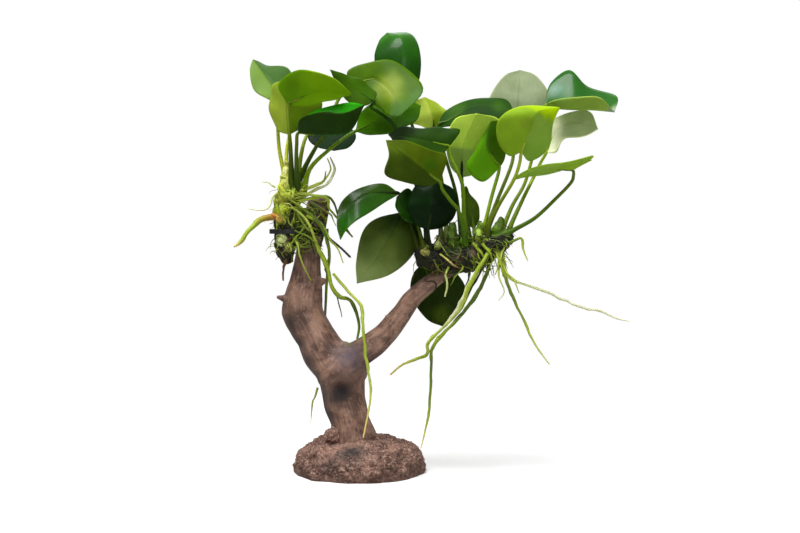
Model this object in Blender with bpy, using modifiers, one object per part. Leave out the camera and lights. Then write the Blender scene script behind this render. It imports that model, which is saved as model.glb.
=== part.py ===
"""Anubias on driftwood: two small water plants grown onto a forked branch in a sand foot.

Units are metres, +Z up, with the origin at the centre of the foot's underside. Points and radii
are listed in millimetres and scaled by MM. Each leaf is one solid: its stalk and its blade.
"""
import math

import bpy
import bmesh
from mathutils import Matrix, Vector, noise

MM = 0.001
GAP = 0.3 * MM

FOOT_RADIUS_X = 35.5 * MM
FOOT_RADIUS_Y = 36.0 * MM
FOOT_HEIGHT = 19.5 * MM
FOOT_EDGE = 0.58
FOOT_LEAN = -0.16
SHOULDER_PLACE = Vector((-14.0, -6.7, 21.0)) * MM
SHOULDER_RADIUS = 5.0 * MM
FOOT_LUMP = 2.4 * MM
FOOT_LUMP_SCALE = 90.0
FOOT_SEGMENTS = 21
FOOT_RINGS = 10

BLADE_THICKNESS = 0.8 * MM
BLADE_ROWS = 6
BLADE_COLUMNS = 4
BLADE_ROUNDING = 0.6
STALK_RADIUS = 1.1 * MM
STALK_TAPER = (1.25, 1.0, 0.75)
STALK_END = 0.15

TIE_HEIGHT = 2.6 * MM
TIE_THICKNESS = 0.9 * MM
TIE_RADIUS = 8.0 * MM
TIE_Z = 133.0 * MM
TIE_TURNS = 9
TIE_LINE = (Vector((-39.8, -4.4, 0.0)) * MM, Vector((-25.6, 6.0, 0.0)) * MM)
TIE_HEAD = Vector((4.6, 3.2, 3.8)) * MM
TIE_HEAD_PLACE = Vector((-20.2, -2.0, 133.0)) * MM
TIE_HEAD_TURN = 0.63
TIE_TAIL = [(-19.5, -2.5, 132.5), (-15.0, -4.0, 128.5), (-9.5, -6.0, 124.0), (-4.0, -8.0, 118.8)]
TIE_TAIL_RADII = [0.8 * MM, 0.6 * MM]

SPLIT_POINT = Vector((-18.0, 3.0, 69.0)) * MM
SPLIT_NORMAL = Vector((-0.48, 0.05, 0.88)).normalized()

# Each tube has a number of steps along it and a bevel resolution, for the points round its ring.
TRUNK_DETAIL = (21, 4)
BRANCH_DETAIL = (12, 3)
RHIZOME_DETAIL = (10, 3)
SPUR_DETAIL = (4, 2)
TAIL_DETAIL = (5, 1)
THIN_RING = 1
WELD = 0.05 * MM
CUT_SNAP = 0.000001

# Lumps on the grown pieces: how high, how many to the metre, and which pattern.
TRUNK_LUMPS = (1.6 * MM, 90.0, 1.0)
BRANCH_LUMPS = (1.2 * MM, 110.0, 2.0)
LEFT_RHIZOME_LUMPS = (1.5 * MM, 160.0, 3.0)
RIGHT_RHIZOME_LUMPS = (1.5 * MM, 160.0, 4.0)

BARK = ("bark", (0.19, 0.115, 0.08), 0.8)
SAND = ("sand", (0.17, 0.10, 0.07), 0.95)
RHIZOME = ("rhizome", (0.07, 0.085, 0.02), 0.75)
ROOT = ("root", (0.36, 0.45, 0.07), 0.55)
TIE = ("tie", (0.01, 0.01, 0.012), 0.4)
TONES = {
    "dark": ("leaf_dark", (0.02, 0.06, 0.008), 0.3),
    "green": ("leaf_green", (0.09, 0.20, 0.01), 0.4),
    "lime": ("leaf_lime", (0.28, 0.42, 0.03), 0.45),
    "grey": ("leaf_grey", (0.24, 0.30, 0.15), 0.55),
}

# Wood, as centre lines with a radius at each point, all in millimetres.
TRUNK = [(-3, 0, 3.5), (-4, 0, 19), (-5, 0, 28.5), (-8, 1, 39.5), (-9.5, 1, 50.5), (-10, 1, 57),
    (-18, 2, 64), (-24, 3, 74.5), (-28.5, 4, 82.5), (-31.5, 5, 89), (-31, 5, 96),
    (-29.5, 5, 104.5), (-28.5, 5, 112.5), (-27.5, 5, 122.5), (-25, 6, 136.5), (-23, 6, 146.5),
    (-22.5, 6, 151.5)]
TRUNK_RADII = [11, 13.5, 11, 11.3, 13, 15.3, 12.2, 10.6, 10.8, 11.8, 11, 8.8, 8, 7, 6.6, 6.2, 5.2]
BRANCH = [(-11.5, 0, 54), (-2, -1, 63.5), (14, -2, 76), (23, -3, 87), (30.5, -4, 97.5),
    (43, -5, 107.5), (56.5, -6, 114), (67.5, -7, 116.5)]
BRANCH_RADII = [8, 8.2, 6.4, 6, 4.8, 4.2, 3.2, 2.2]
LEFT_RHIZOME = [(-38.5, -4, 116), (-40, -4, 124.5), (-39.5, -4.5, 136.5), (-38.5, -5, 146.5),
    (-36.5, -5, 154.5), (-36, -5, 159.5)]
LEFT_RHIZOME_RADII = [2.5, 5.8, 6.5, 6, 6, 3.5]
RIGHT_RHIZOME = [(31.5, -9, 118.5), (39, -9, 119.5), (50, -9, 118.5), (61, -9, 119.5),
    (70.5, -10, 124), (78.5, -11, 129), (83, -11, 132.5)]
RIGHT_RHIZOME_RADII = [4.5, 7, 8.2, 8.2, 7, 5.5, 3]
SPUR = [(-33.5, 4, 94.5), (-40.5, 1, 96), (-45.5, -2, 97.5)]
SPUR_RADII = [4, 3, 1]

# Roots that stand clear of the plants, from the rhizome to the tip, in millimetres.
ROOTS = {
    "left_root_1": [(-42.5, -9, 142), (-52, -12, 139.5), (-58, -15, 134), (-63, -18, 127.5),
        (-66.5, -19, 125)],
    "left_root_2": [(-42, -6, 155.5), (-46.5, -8, 151), (-48, -9, 147), (-52.5, -9, 144.5),
        (-59.5, -10, 145.5)],
    "left_root_3": [(-36.5, -10, 147), (-28.5, -9, 140), (-24.5, -8, 131.5), (-22, -6, 124.5),
        (-17.5, -7, 115), (-14, -9, 103), (-10, -9, 97.5), (-4.5, -7, 95.5), (-1, -7, 88.5),
        (0.5, -9, 81), (-0.5, -12, 74.5)],
    "left_root_4": [(-13.5, -9, 110), (-7, -12, 102.5), (1.5, -14, 92.5), (2.5, -17, 82.5),
        (3.5, -19, 72), (6, -19, 57.5), (7, -18, 45.5), (5.5, -17, 35), (3, -20, 22)],
    "left_root_5": [(-33.5, -5, 146), (-25.5, -8, 142), (-19.5, -11, 134.5), (-16.5, -9, 127.5),
        (-16.5, 0, 116), (-18, 8, 103), (-19.5, 16, 82)],
    "left_root_6": [(-34, -7, 148.5), (-25.5, -9, 151), (-18, -8, 152), (-13.5, -6, 148.5),
        (-8.5, -6, 136.5), (-3, -8, 130)],
    "left_root_7": [(-33, -2, 150.5), (-23, -4, 155.5), (-16, -3, 160), (-13, -1, 167),
        (-15.5, 1, 173.5)],
    "right_root_1": [(72.5, -15, 125), (67, -21, 116.5), (58.5, -20, 101), (55, -17, 92),
        (46, -13, 81), (38, -10, 72.5), (37.5, -9, 66.5), (33.5, -7, 64), (24.5, -4, 60),
        (17.5, -2, 54)],
    "right_root_2": [(71, -9, 119.5), (70.5, -13, 112.5), (65, -14, 100.5), (57, -14, 89),
        (48, -16, 79.5), (41.5, -14, 72), (39.5, -13, 64.5), (39.5, -12, 48), (38.5, -12, 34.5),
        (36, -13, 22), (34, -14, 15)],
    "right_root_3": [(75, -14, 127), (78, -17, 112.5), (82.5, -18, 100.5), (88.5, -20, 87),
        (95.5, -22, 72.5), (103, -23, 62)],
    "right_root_4": [(78, -8, 128.5), (80, -8, 113), (84, -7, 107), (102.5, -4, 100),
        (121.5, 0, 91.5), (132.5, 2, 89), (143, 4, 84.5), (150, 5, 83)],
    "right_root_5": [(78.5, -14, 130.5), (81.5, -17, 127), (88, -18, 129.5), (89, -18, 123.5),
        (91.5, -19, 117.5)],
}
ROOT_RADII = {
    "left_root_1": (1.5, 1.1),
    "left_root_2": (0.8, 0.5),
    "left_root_3": (1.1, 0.8),
    "left_root_4": (1.1, 0.8),
    "left_root_5": (1.0, 0.8),
    "left_root_6": (0.9, 0.6),
    "left_root_7": (1.0, 0.5),
    "right_root_1": (1.5, 0.5),
    "right_root_2": (1.1, 0.8),
    "right_root_3": (0.9, 0.5),
    "right_root_4": (0.9, 0.5),
    "right_root_5": (0.8, 0.5),
}

# Leaves, in millimetres. The stalk runs from the rhizome to the blade, the rib from the blade's
# base to its tip, and left and right are the margins between, seen from the upper side.
LEAVES = {
    "left_leaf_1": {
        "stalk": [(-40, -3, 157.5), (-41, -1, 165.5), (-43.5, 2, 177.5),
                  (-44.5, 4, 190), (-44, 6, 198.5)],
        "rib": [(-42, 6, 204.5), (-50.5, 14, 217), (-60, 22, 229)],
        "left": [(-48, 4, 204.5), (-58, 8, 211.5), (-61, 16, 222)],
        "right": [(-35.5, 16, 212.5), (-40, 24, 223.5), (-53, 26, 226.5)],
    },
    "left_leaf_2": {
        "stalk": [(-36, -9.5, 156.5), (-36, -16, 177), (-37, -17, 190.5)],
        "rib": [(-37.5, -15, 201.5), (-21.5, -26, 207.5), (-2.5, -25, 206)],
        "left": [(-31, -12, 201), (-19, -16, 202.5), (-8, -21, 205)],
        "right": [(-42, -20, 212), (-29.5, -32, 218.5), (-12.5, -34, 214)],
    },
    "left_leaf_3": {
        "stalk": [(-38.5, -7, 157), (-39, -7, 174.5)],
        "rib": [(-37.5, -6, 185.5), (-38.5, -7, 200), (-41, -7, 215)],
        "left": [(-28.5, -4, 191), (-20, -1, 201), (-25.5, -1, 211.5)],
        "right": [(-44.5, -4, 189), (-48.5, -1, 201.5), (-46.5, -1, 212.5)],
    },
    "left_leaf_4": {
        "stalk": [(-33, -8.5, 156.5), (-32.5, -22, 171.5), (-32, -26, 179.5)],
        "rib": [(-31, -29, 185.5), (-16.5, -36, 184.5), (-3.5, -38, 186.5), (4, -34, 200)],
        "left": [(-27, -24, 194.5), (-14.5, -24, 200), (-3.5, -27, 201.5)],
        "right": [(-29, -42, 192), (-18.5, -48, 195.5), (-7, -46, 195)],
    },
    "left_leaf_5": {
        "stalk": [(-32.5, -0.5, 156.5), (-32.5, 3, 169.5), (-29.5, 11, 185), (-23, 16, 191)],
        "rib": [(-16.5, 16, 191), (-14, 4, 184.5), (-13, -6, 177)],
        "left": [(-5, 12, 190), (-1.5, 5, 184.5), (-5.5, -2, 179)],
        "right": [(-24, 12, 190), (-28, 5, 184.5), (-22, -2, 179)],
    },
    "left_leaf_6": {
        "stalk": [(-35, -4, 155), (-28.5, -5, 169), (-23, -8, 178.5),
                  (-17, -12, 187.5), (-11, -7, 204), (-7, -3, 208.5)],
        "rib": [(-3.5, -1, 212.5), (8.5, 0, 216.5), (19.5, -8, 207), (22.5, -14, 195)],
        "left": [(-6, 1, 220.5), (5, 3, 225.5), (21, 2, 225.5), (35.5, -6, 210.5)],
        "right": [(-0.5, -4, 206), (11, -8, 200.5), (16.5, -12, 196)],
    },
    "middle_leaf_1": {
        "stalk": [(37.5, -8, 123), (37, -2, 135), (32.5, 2, 155.5), (27, 1, 175),
                  (23, -2, 186), (17.5, -3, 193), (11, -5, 198), (7, -9, 200.5)],
        "rib": [(9, -15, 203), (-2, -16, 210), (-14.5, -22, 219.5)],
        "left": [(3, -17, 200.5), (-6, -18, 203.5), (-12, -20, 214)],
        "right": [(9.5, -9, 208.5), (1.5, -9, 215), (-5.5, -15, 217)],
    },
    "middle_leaf_2": {
        "stalk": [(45, -6, 124), (45, 4, 136.5), (39.5, 16, 158.5),
                  (30.5, 20, 189.5), (26, 17, 200.5)],
        "rib": [(24.5, 14, 208), (23.5, 11, 224.5), (22, 16, 239.5), (15.5, 28, 244.5)],
        "left": [(12.5, 17, 216), (8.5, 17, 229.5), (11, 24, 239)],
        "right": [(32.5, 17, 215), (34.5, 17, 229.5), (29, 24, 243)],
    },
    "left_leaf_7": {
        "stalk": [(-30, -5, 154), (-26, -11, 167), (-15, -15, 177.5), (-6, -12, 184.5)],
        "rib": [(-1.5, -6, 187.5), (14.5, 6, 195.5), (34.5, 12, 202.5)],
        "left": [(1.5, 4, 198.5), (11, 12, 205.5), (24, 9, 207)],
        "right": [(8, -5, 185.5), (20.5, 1, 188), (32, 8, 194.5)],
    },
    "middle_leaf_3": {
        "stalk": [(48, -4, 124), (48.5, 10, 138), (47.5, 18, 153), (44.5, 26, 173)],
        "rib": [(42, 26, 189), (41, 21, 198.5), (36.5, 22, 208)],
        "left": [(34, 22, 192), (26.5, 22, 195), (30, 24, 204.5)],
        "right": [(47.5, 26, 193.5), (50.5, 28, 199.5), (44, 27, 204.5)],
    },
    "right_leaf_1": {
        "stalk": [(67, -6, 128), (70.5, -5, 136), (77, 2, 151.5), (85, 10, 170.5), (86.5, 17, 182)],
        "rib": [(88, 20, 190.5), (89, 22, 207.5), (91, 32, 224)],
        "left": [(102.5, 20, 194), (107, 22, 207.5), (100.5, 28, 220)],
        "right": [(74.5, 20, 194.5), (73, 22, 207), (81.5, 28, 220)],
    },
    "right_leaf_2": {
        "stalk": [(77.5, -7, 130.5), (80, -5, 137), (85, 3, 147.5),
                  (92, 10, 159), (96.5, 12, 173.5), (101, 14, 189)],
        "rib": [(103, 10, 202), (113.5, 0, 200), (127.5, -4, 199.5), (139.5, -6, 198)],
        "left": [(107, 18, 215), (117.5, 20, 223), (126.5, 14, 213.5), (142, 5, 207.5)],
        "right": [(105.5, -6, 204), (116, -10, 205.5), (130, -12, 205.5)],
    },
    "right_leaf_3": {
        "stalk": [(70, -13, 129), (71, -14, 136), (76, -13, 147), (84, -13, 160.5), (87, -15, 169)],
        "rib": [(88, -17, 176), (90.5, -25, 185), (95, -30, 196), (107.5, -27, 199)],
        "left": [(93, -15, 171), (102.5, -20, 178.5), (104, -27, 191.5)],
        "right": [(81.5, -15, 174), (75, -18, 182.5), (75.5, -23, 193), (88.5, -24, 200)],
    },
    "right_leaf_4": {
        "stalk": [(81.5, -10, 131.5), (83.5, -9, 137.5), (90.5, 0, 151),
                  (97.5, 14, 163), (101.5, 16, 171)],
        "rib": [(104.5, 14, 176.5), (110, 17, 188.5), (121, 15, 193), (132.5, 8, 189.5)],
        "left": [(109.5, 10, 177), (114.5, 8, 184.5), (124, 4, 185)],
        "right": [(100, 18, 185.5), (110.5, 20, 196.5), (127.5, 15, 200)],
    },
    "right_leaf_5": {
        "stalk": [(79, -13, 131), (84.5, -12, 134), (96.5, -7, 140.5),
                  (108.5, 0, 151), (117, 4, 159.5), (118.5, 4, 163.5)],
        "rib": [(118, 4, 166.5), (102, 0, 167), (83.5, -6, 161)],
        "left": [(128.5, -4, 174), (109.5, -14, 170), (94, -14, 167.5)],
        "right": [(129, 9, 172.5), (112, 14, 166), (96, 8, 163.5)],
    },
    "right_leaf_6": {
        "stalk": [(56.5, -4, 125), (56, 0, 133.5), (54, 8, 153), (48.5, 12, 172.5)],
        "rib": [(43.5, 12, 190.5), (65, 12, 202), (86, 8, 199)],
        "left": [(48.5, 16, 199.5), (65.5, 19, 207), (81, 16, 206.5)],
        "right": [(51.5, 8, 191), (65, 7, 194.5), (78, 6, 193.5)],
    },
    "right_leaf_7": {
        "stalk": [(61, -5, 126), (58, 4, 150)],
        "rib": [(57, 6, 162.5), (57.5, 2, 180), (64.5, -2, 197.5)],
        "left": [(66, 5, 166), (77.5, 4, 181.5), (77.5, 1, 194)],
        "right": [(50.5, 6, 169), (48.5, 4, 183), (53, 1, 194.5)],
    },
    "right_leaf_8": {
        "stalk": [(63, -11, 126.5), (67.5, -10, 133), (73, -7, 153)],
        "rib": [(77, -5, 167.5), (70, -8, 179.5), (72, -6, 193)],
        "left": [(67.5, -8, 160), (59, -8, 168.5), (66.5, -6, 181.5)],
        "right": [(80, -5, 173), (80, -4, 182.5), (78, -4, 192.5)],
    },
    "right_leaf_9": {
        "stalk": [(58.5, -14, 126), (56.5, -19, 136.5), (54, -21, 144.5),
                  (49.5, -23, 150), (45.5, -25, 155.5)],
        "rib": [(44, -26, 159.5), (30, -34, 170), (15.5, -38, 181.5)],
        "left": [(47.5, -23, 173.5), (39, -27, 176.5), (27, -34, 181)],
        "right": [(36.5, -30, 157.5), (25, -35, 159.5), (15, -38, 163.5), (17, -39, 173.5)],
    },
    "right_leaf_10": {
        "stalk": [(59, -9.5, 126.5), (57.5, -10, 142), (57, -11, 156.5),
                  (54, -11, 165.5), (50.5, -10, 173)],
        "rib": [(49.5, -9, 179), (35.5, -15, 182.5), (16.5, -25, 185)],
        "left": [(45, -15, 175), (33.5, -22, 175.5), (21.5, -27, 180)],
        "right": [(55.5, -3, 188), (47, -3, 189.5), (36.5, -6, 189), (24, -16, 189.5)],
    },
    "right_leaf_11": {
        "stalk": [(36, -13, 123), (34, -10, 131)],
        "rib": [(32, -8, 138), (25.5, -10, 144.5), (21, -8, 152)],
        "left": [(28, -11, 138), (23.5, -12, 141), (20.5, -11, 147)],
        "right": [(33.5, -6, 143.5), (32.5, -4, 151), (27, -6, 156.5)],
    },
    "right_leaf_12": {
        "stalk": [(34, -9, 121), (30, -5.5, 132.5), (27, -4.5, 144.5)],
        "rib": [(22.5, -6, 153.5), (7.5, -11, 154), (-4, -19, 146), (-9, -26, 129)],
        "left": [(15, -12, 149), (5, -20, 142.5), (-4.5, -26, 136)],
        "right": [(13.5, -6, 159), (1, -10, 156.5), (-9, -17, 148.5), (-11, -23, 137.5)],
    },
    "right_leaf_13": {
        "stalk": [(36, -4, 119), (34, 5, 124.5), (30, 8, 134.5), (26.5, 4, 142.5)],
        "rib": [(24, 0, 143.5), (18, -6, 132.5), (11, -11, 120), (-0.5, -15, 105)],
        "left": [(10, -2, 140), (2, -6, 131.5), (-1, -12, 116.5)],
        "right": [(34.5, -2, 133), (30, -2, 120), (17, -11, 109.5)],
    },
    "right_leaf_14": {
        "stalk": [(39.5, -14, 123.5), (38.5, -14, 128.5)],
        "rib": [(38, -14, 134), (40, -20, 147), (42, -15, 160.5)],
        "left": [(30, -16, 138), (27, -17, 148), (31.5, -14, 157.5)],
        "right": [(47, -12, 136), (54, -12, 146), (51, -10, 156.5)],
    },
    "right_leaf_15": {
        "stalk": [(64.5, -6, 128), (63.5, -1, 132)],
        "rib": [(63.5, 2, 134), (62, 8, 146.5), (59.5, 12, 158)],
        "left": [(59.5, 6, 138), (57.5, 11, 147.5), (57.5, 12, 154.5)],
        "right": [(66, 6, 138), (67, 10, 145), (62, 13, 153.5)],
    },
    "right_leaf_16": {
        "stalk": [(41, -3, 120.5), (40, 8, 118.5)],
        "rib": [(40, 14, 115.5), (45, 20, 98), (47, 23, 78.5)],
        "left": [(31, 18, 110), (29, 23, 97), (37.5, 24, 83)],
        "right": [(51.5, 16, 112), (60, 21, 99.5), (53, 24, 86.5)],
    },
}
LEAF_TONES = {
    "left_leaf_1": "grey", "left_leaf_2": "lime", "left_leaf_3": "lime", "left_leaf_4": "dark",
    "left_leaf_5": "dark", "left_leaf_6": "lime", "middle_leaf_1": "green",
    "middle_leaf_2": "dark", "middle_leaf_3": "lime", "left_leaf_7": "green",
    "right_leaf_1": "grey", "right_leaf_2": "dark", "right_leaf_3": "lime",
    "right_leaf_4": "grey", "right_leaf_5": "green", "right_leaf_6": "green",
    "right_leaf_7": "lime", "right_leaf_8": "green", "right_leaf_9": "dark",
    "right_leaf_10": "dark", "right_leaf_11": "dark", "right_leaf_12": "dark",
    "right_leaf_13": "grey", "right_leaf_14": "dark", "right_leaf_15": "dark",
    "right_leaf_16": "green",
}


def clear_scene():
    for thing in list(bpy.data.objects):
        bpy.data.objects.remove(thing, do_unlink=True)


def make_collection(name):
    collection = bpy.data.collections.new(name)
    bpy.context.scene.collection.children.link(collection)
    return collection


def make_material(name, colour, roughness):
    material = bpy.data.materials.get(name)
    if material:
        return material
    material = bpy.data.materials.new(name)
    material.use_nodes = True
    shader = material.node_tree.nodes["Principled BSDF"]
    shader.inputs["Base Color"].default_value = (*colour, 1.0)
    shader.inputs["Roughness"].default_value = roughness
    shader.inputs["Metallic"].default_value = 0.0
    return material


def add_object(name, data, look=None, collection=None):
    thing = bpy.data.objects.new(name, data)
    (collection or PARTS).objects.link(thing)
    if look:
        data.materials.append(make_material(*look))
    return thing


def evaluated_mesh(thing):
    depsgraph = bpy.context.evaluated_depsgraph_get()
    return bpy.data.meshes.new_from_object(thing.evaluated_get(depsgraph))


def add_cutter(name, mesh):
    cutter = add_object(name, mesh, collection=CUTTERS)
    cutter.hide_render = True
    cutter.display_type = "WIRE"
    return cutter


def along(points, where):
    """Point at fraction where, from 0 to 1, of a smooth curve through the points."""
    last = len(points) - 1
    index = min(int(where * last), last - 1)
    step = where * last - index
    start, end = points[index], points[index + 1]
    before = points[index - 1] if index > 0 else 2 * start - end
    after = points[index + 2] if index + 2 <= last else 2 * end - start
    return 0.5 * (2 * start + (end - before) * step
                  + (2 * before - 5 * start + 4 * end - after) * step ** 2
                  + (3 * start - before - 3 * end + after) * step ** 3)


def in_metres(points):
    return [Vector(point) * MM for point in points]


def tube_mesh(name, points, radii, detail):
    """Round closed tube along the points, with its radius changing evenly between radii."""
    steps, ring = detail
    curve = bpy.data.curves.new(name, "CURVE")
    curve.dimensions = "3D"
    curve.bevel_depth = 1.0
    curve.bevel_resolution = ring
    curve.use_fill_caps = True
    spline = curve.splines.new("POLY")
    spline.points.add(steps)
    for index, point in enumerate(spline.points):
        where = index / steps
        scaled = where * (len(radii) - 1)
        low = min(int(scaled), len(radii) - 2)
        radius = radii[low] + (radii[low + 1] - radii[low]) * (scaled - low)
        point.co = (*along(points, where), 1.0)
        point.radius = radius
    holder = add_object(name + "_curve", curve)
    mesh = evaluated_mesh(holder)
    bpy.data.objects.remove(holder)
    shape = bmesh.new()
    shape.from_mesh(mesh)
    bmesh.ops.remove_doubles(shape, verts=shape.verts, dist=WELD)
    shape.to_mesh(mesh)
    shape.free()
    mesh.name = name
    return mesh


def roughen(mesh, lumps):
    """Push each point in or out along its normal by smooth noise."""
    amount, scale, seed = lumps
    offset = Vector((seed, 2 * seed, 3 * seed))
    moves = [point.normal * noise.noise(point.co * scale + offset) * amount
             for point in mesh.vertices]
    for point, move in zip(mesh.vertices, moves):
        point.co += move
    mesh.update()


def grown(name, mesh, amount):
    """Hidden copy of a mesh, larger by amount all round, for cutting its neighbours."""
    copy = mesh.copy()
    moves = [point.normal * amount for point in copy.vertices]
    for point, move in zip(copy.vertices, moves):
        point.co += move
    copy.update()
    return add_cutter(name, copy)


def boolean(thing, operation, other):
    modifier = thing.modifiers.new(operation.lower(), "BOOLEAN")
    modifier.operation = operation
    modifier.solver = "EXACT"
    modifier.object = other


def keep_side(mesh, point, normal):
    """Cut a closed mesh by a plane and close it again, keeping the side the normal points to."""
    shape = bmesh.new()
    shape.from_mesh(mesh)
    parts = list(shape.verts) + list(shape.edges) + list(shape.faces)
    cut = bmesh.ops.bisect_plane(shape, geom=parts, dist=CUT_SNAP, plane_co=point,
                                 plane_no=normal, clear_inner=True)
    edges = [part for part in cut["geom_cut"] if isinstance(part, bmesh.types.BMEdge)]
    bmesh.ops.contextual_create(shape, geom=edges)
    shape.to_mesh(mesh)
    shape.free()


def build_wood():
    """Trunk, left arm and right branch, parted at the fork."""
    whole = tube_mesh("whole", in_metres(TRUNK), [r * MM for r in TRUNK_RADII], TRUNK_DETAIL)
    roughen(whole, TRUNK_LUMPS)
    spur = tube_mesh("spur", in_metres(SPUR), [r * MM for r in SPUR_RADII], SPUR_DETAIL)
    trunk = whole.copy()
    keep_side(trunk, SPLIT_POINT - SPLIT_NORMAL * GAP / 2, -SPLIT_NORMAL)
    add_object("driftwood_trunk", trunk, BARK)
    arm = whole.copy()
    keep_side(arm, SPLIT_POINT + SPLIT_NORMAL * GAP / 2, SPLIT_NORMAL)
    arm = add_object("driftwood_left_arm", arm, BARK)
    boolean(arm, "UNION", add_cutter("spur_tool", spur))
    branch = tube_mesh("branch", in_metres(BRANCH), [r * MM for r in BRANCH_RADII],
                       BRANCH_DETAIL)
    roughen(branch, BRANCH_LUMPS)
    branch = add_object("driftwood_right_branch", branch, BARK)
    whole_tool = grown("wood_tool", whole, GAP)
    boolean(branch, "DIFFERENCE", whole_tool)
    return whole_tool, grown("branch_tool", branch.data, GAP)


def build_foot(wood_tool):
    """Flat-bottomed mound of sand, fuller on its right, with one lump against the trunk."""
    shape = bmesh.new()
    bmesh.ops.create_uvsphere(shape, u_segments=FOOT_SEGMENTS, v_segments=FOOT_RINGS,
                              radius=1.0)
    parts = list(shape.verts) + list(shape.edges) + list(shape.faces)
    cut = bmesh.ops.bisect_plane(shape, geom=parts, dist=CUT_SNAP, plane_co=(0, 0, 0),
                                 plane_no=(0, 0, 1), clear_inner=True)
    edges = [part for part in cut["geom_cut"] if isinstance(part, bmesh.types.BMEdge)]
    bmesh.ops.contextual_create(shape, geom=edges)
    for vertex in shape.verts:
        x, y, z = vertex.co
        height = FOOT_HEIGHT * max(z, 0) ** (FOOT_EDGE + FOOT_LEAN * x)
        place = Vector((x * FOOT_RADIUS_X, y * FOOT_RADIUS_Y, height))
        lump = noise.noise(place * FOOT_LUMP_SCALE) * FOOT_LUMP
        vertex.co = place + Vector((x, y, z)).normalized() * lump
        if z < CUT_SNAP:
            vertex.co.z = 0.0
    mesh = bpy.data.meshes.new("sand_foot")
    shape.to_mesh(mesh)
    shape.free()
    foot = add_object("sand_foot", mesh, SAND)
    lump = bmesh.new()
    bmesh.ops.create_icosphere(lump, subdivisions=2, radius=SHOULDER_RADIUS,
                               matrix=Matrix.Translation(SHOULDER_PLACE))
    lump_mesh = bpy.data.meshes.new("shoulder")
    lump.to_mesh(lump_mesh)
    lump.free()
    boolean(foot, "UNION", add_cutter("shoulder_tool", lump_mesh))
    boolean(foot, "DIFFERENCE", wood_tool)


def ring_outline(curve, radius):
    """Closed outline, at one distance from the line between the arm and the rhizome."""
    start, end = TIE_LINE
    facing = math.atan2(end.y - start.y, end.x - start.x)
    spline = curve.splines.new("POLY")
    spline.points.add(2 * TIE_TURNS - 1)
    for index, point in enumerate(spline.points):
        centre = end if index < TIE_TURNS else start
        turn = facing - math.pi / 2 + math.pi * (index % TIE_TURNS) / (TIE_TURNS - 1)
        turn += math.pi if index >= TIE_TURNS else 0.0
        point.co = (centre.x + radius * math.cos(turn), centre.y + radius * math.sin(turn), 0, 1)
    spline.use_cyclic_u = True


def build_tie():
    """Flat plastic strap around the rhizome and the left arm, with its head and cut tail."""
    curve = bpy.data.curves.new("band", "CURVE")
    curve.dimensions = "2D"
    curve.fill_mode = "BOTH"
    curve.extrude = TIE_HEIGHT / 2
    ring_outline(curve, TIE_RADIUS + TIE_THICKNESS)
    ring_outline(curve, TIE_RADIUS)
    holder = add_object("band_curve", curve)
    mesh = evaluated_mesh(holder)
    bpy.data.objects.remove(holder)
    shape = bmesh.new()
    shape.from_mesh(mesh)
    bmesh.ops.remove_doubles(shape, verts=shape.verts, dist=WELD)
    shape.to_mesh(mesh)
    shape.free()
    mesh.transform(Matrix.Translation((0, 0, TIE_Z)))
    tie = add_object("cable_tie", mesh, TIE)
    head = bmesh.new()
    place = Matrix.Translation(TIE_HEAD_PLACE) @ Matrix.Rotation(TIE_HEAD_TURN, 4, "Z")
    bmesh.ops.create_cube(head, size=1.0, matrix=place @ Matrix.Diagonal((*TIE_HEAD, 1)))
    head_mesh = bpy.data.meshes.new("tie_head")
    head.to_mesh(head_mesh)
    head.free()
    boolean(tie, "UNION", add_cutter("tie_head_tool", head_mesh))
    tail = tube_mesh("tie_tail", in_metres(TIE_TAIL), TIE_TAIL_RADII, TAIL_DETAIL)
    boolean(tie, "UNION", add_cutter("tie_tail_tool", tail))


def build_rhizome(name, points, radii, lumps, wood_tool):
    """Creeping stem with its mat of short roots, grown against the wood."""
    mesh = tube_mesh(name, in_metres(points), [r * MM for r in radii], RHIZOME_DETAIL)
    roughen(mesh, lumps)
    rhizome = add_object(name, mesh, RHIZOME)
    boolean(rhizome, "DIFFERENCE", wood_tool)
    return grown(name + "_tool", mesh, GAP)


def blade_mesh(name, rib, left, right):
    """Sheet between two margins, rounded across through the rib."""
    shape = bmesh.new()
    base = shape.verts.new(rib[0])
    rows = []
    for row in range(1, BLADE_ROWS):
        where = row / BLADE_ROWS
        middle = along(rib, where)
        to_left = along(left, where) - middle
        to_right = along(right, where) - middle
        line = []
        for column in range(BLADE_COLUMNS + 1):
            across = 2 * column / BLADE_COLUMNS - 1
            side = to_right if across > 0 else to_left
            straight = side * abs(across)
            rounded = (to_right - to_left) / 2 * across + (to_left + to_right) / 2 * across ** 2
            line.append(shape.verts.new(middle + straight.lerp(rounded, BLADE_ROUNDING)))
        rows.append(line)
    tip = shape.verts.new(rib[-1])
    for column in range(BLADE_COLUMNS):
        shape.faces.new((base, rows[0][column + 1], rows[0][column]))
        shape.faces.new((tip, rows[-1][column], rows[-1][column + 1]))
        for lower, upper in zip(rows, rows[1:]):
            shape.faces.new((lower[column], lower[column + 1], upper[column + 1], upper[column]))
    bmesh.ops.recalc_face_normals(shape, faces=shape.faces)
    mesh = bpy.data.meshes.new(name)
    shape.to_mesh(mesh)
    shape.free()
    return mesh


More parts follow.
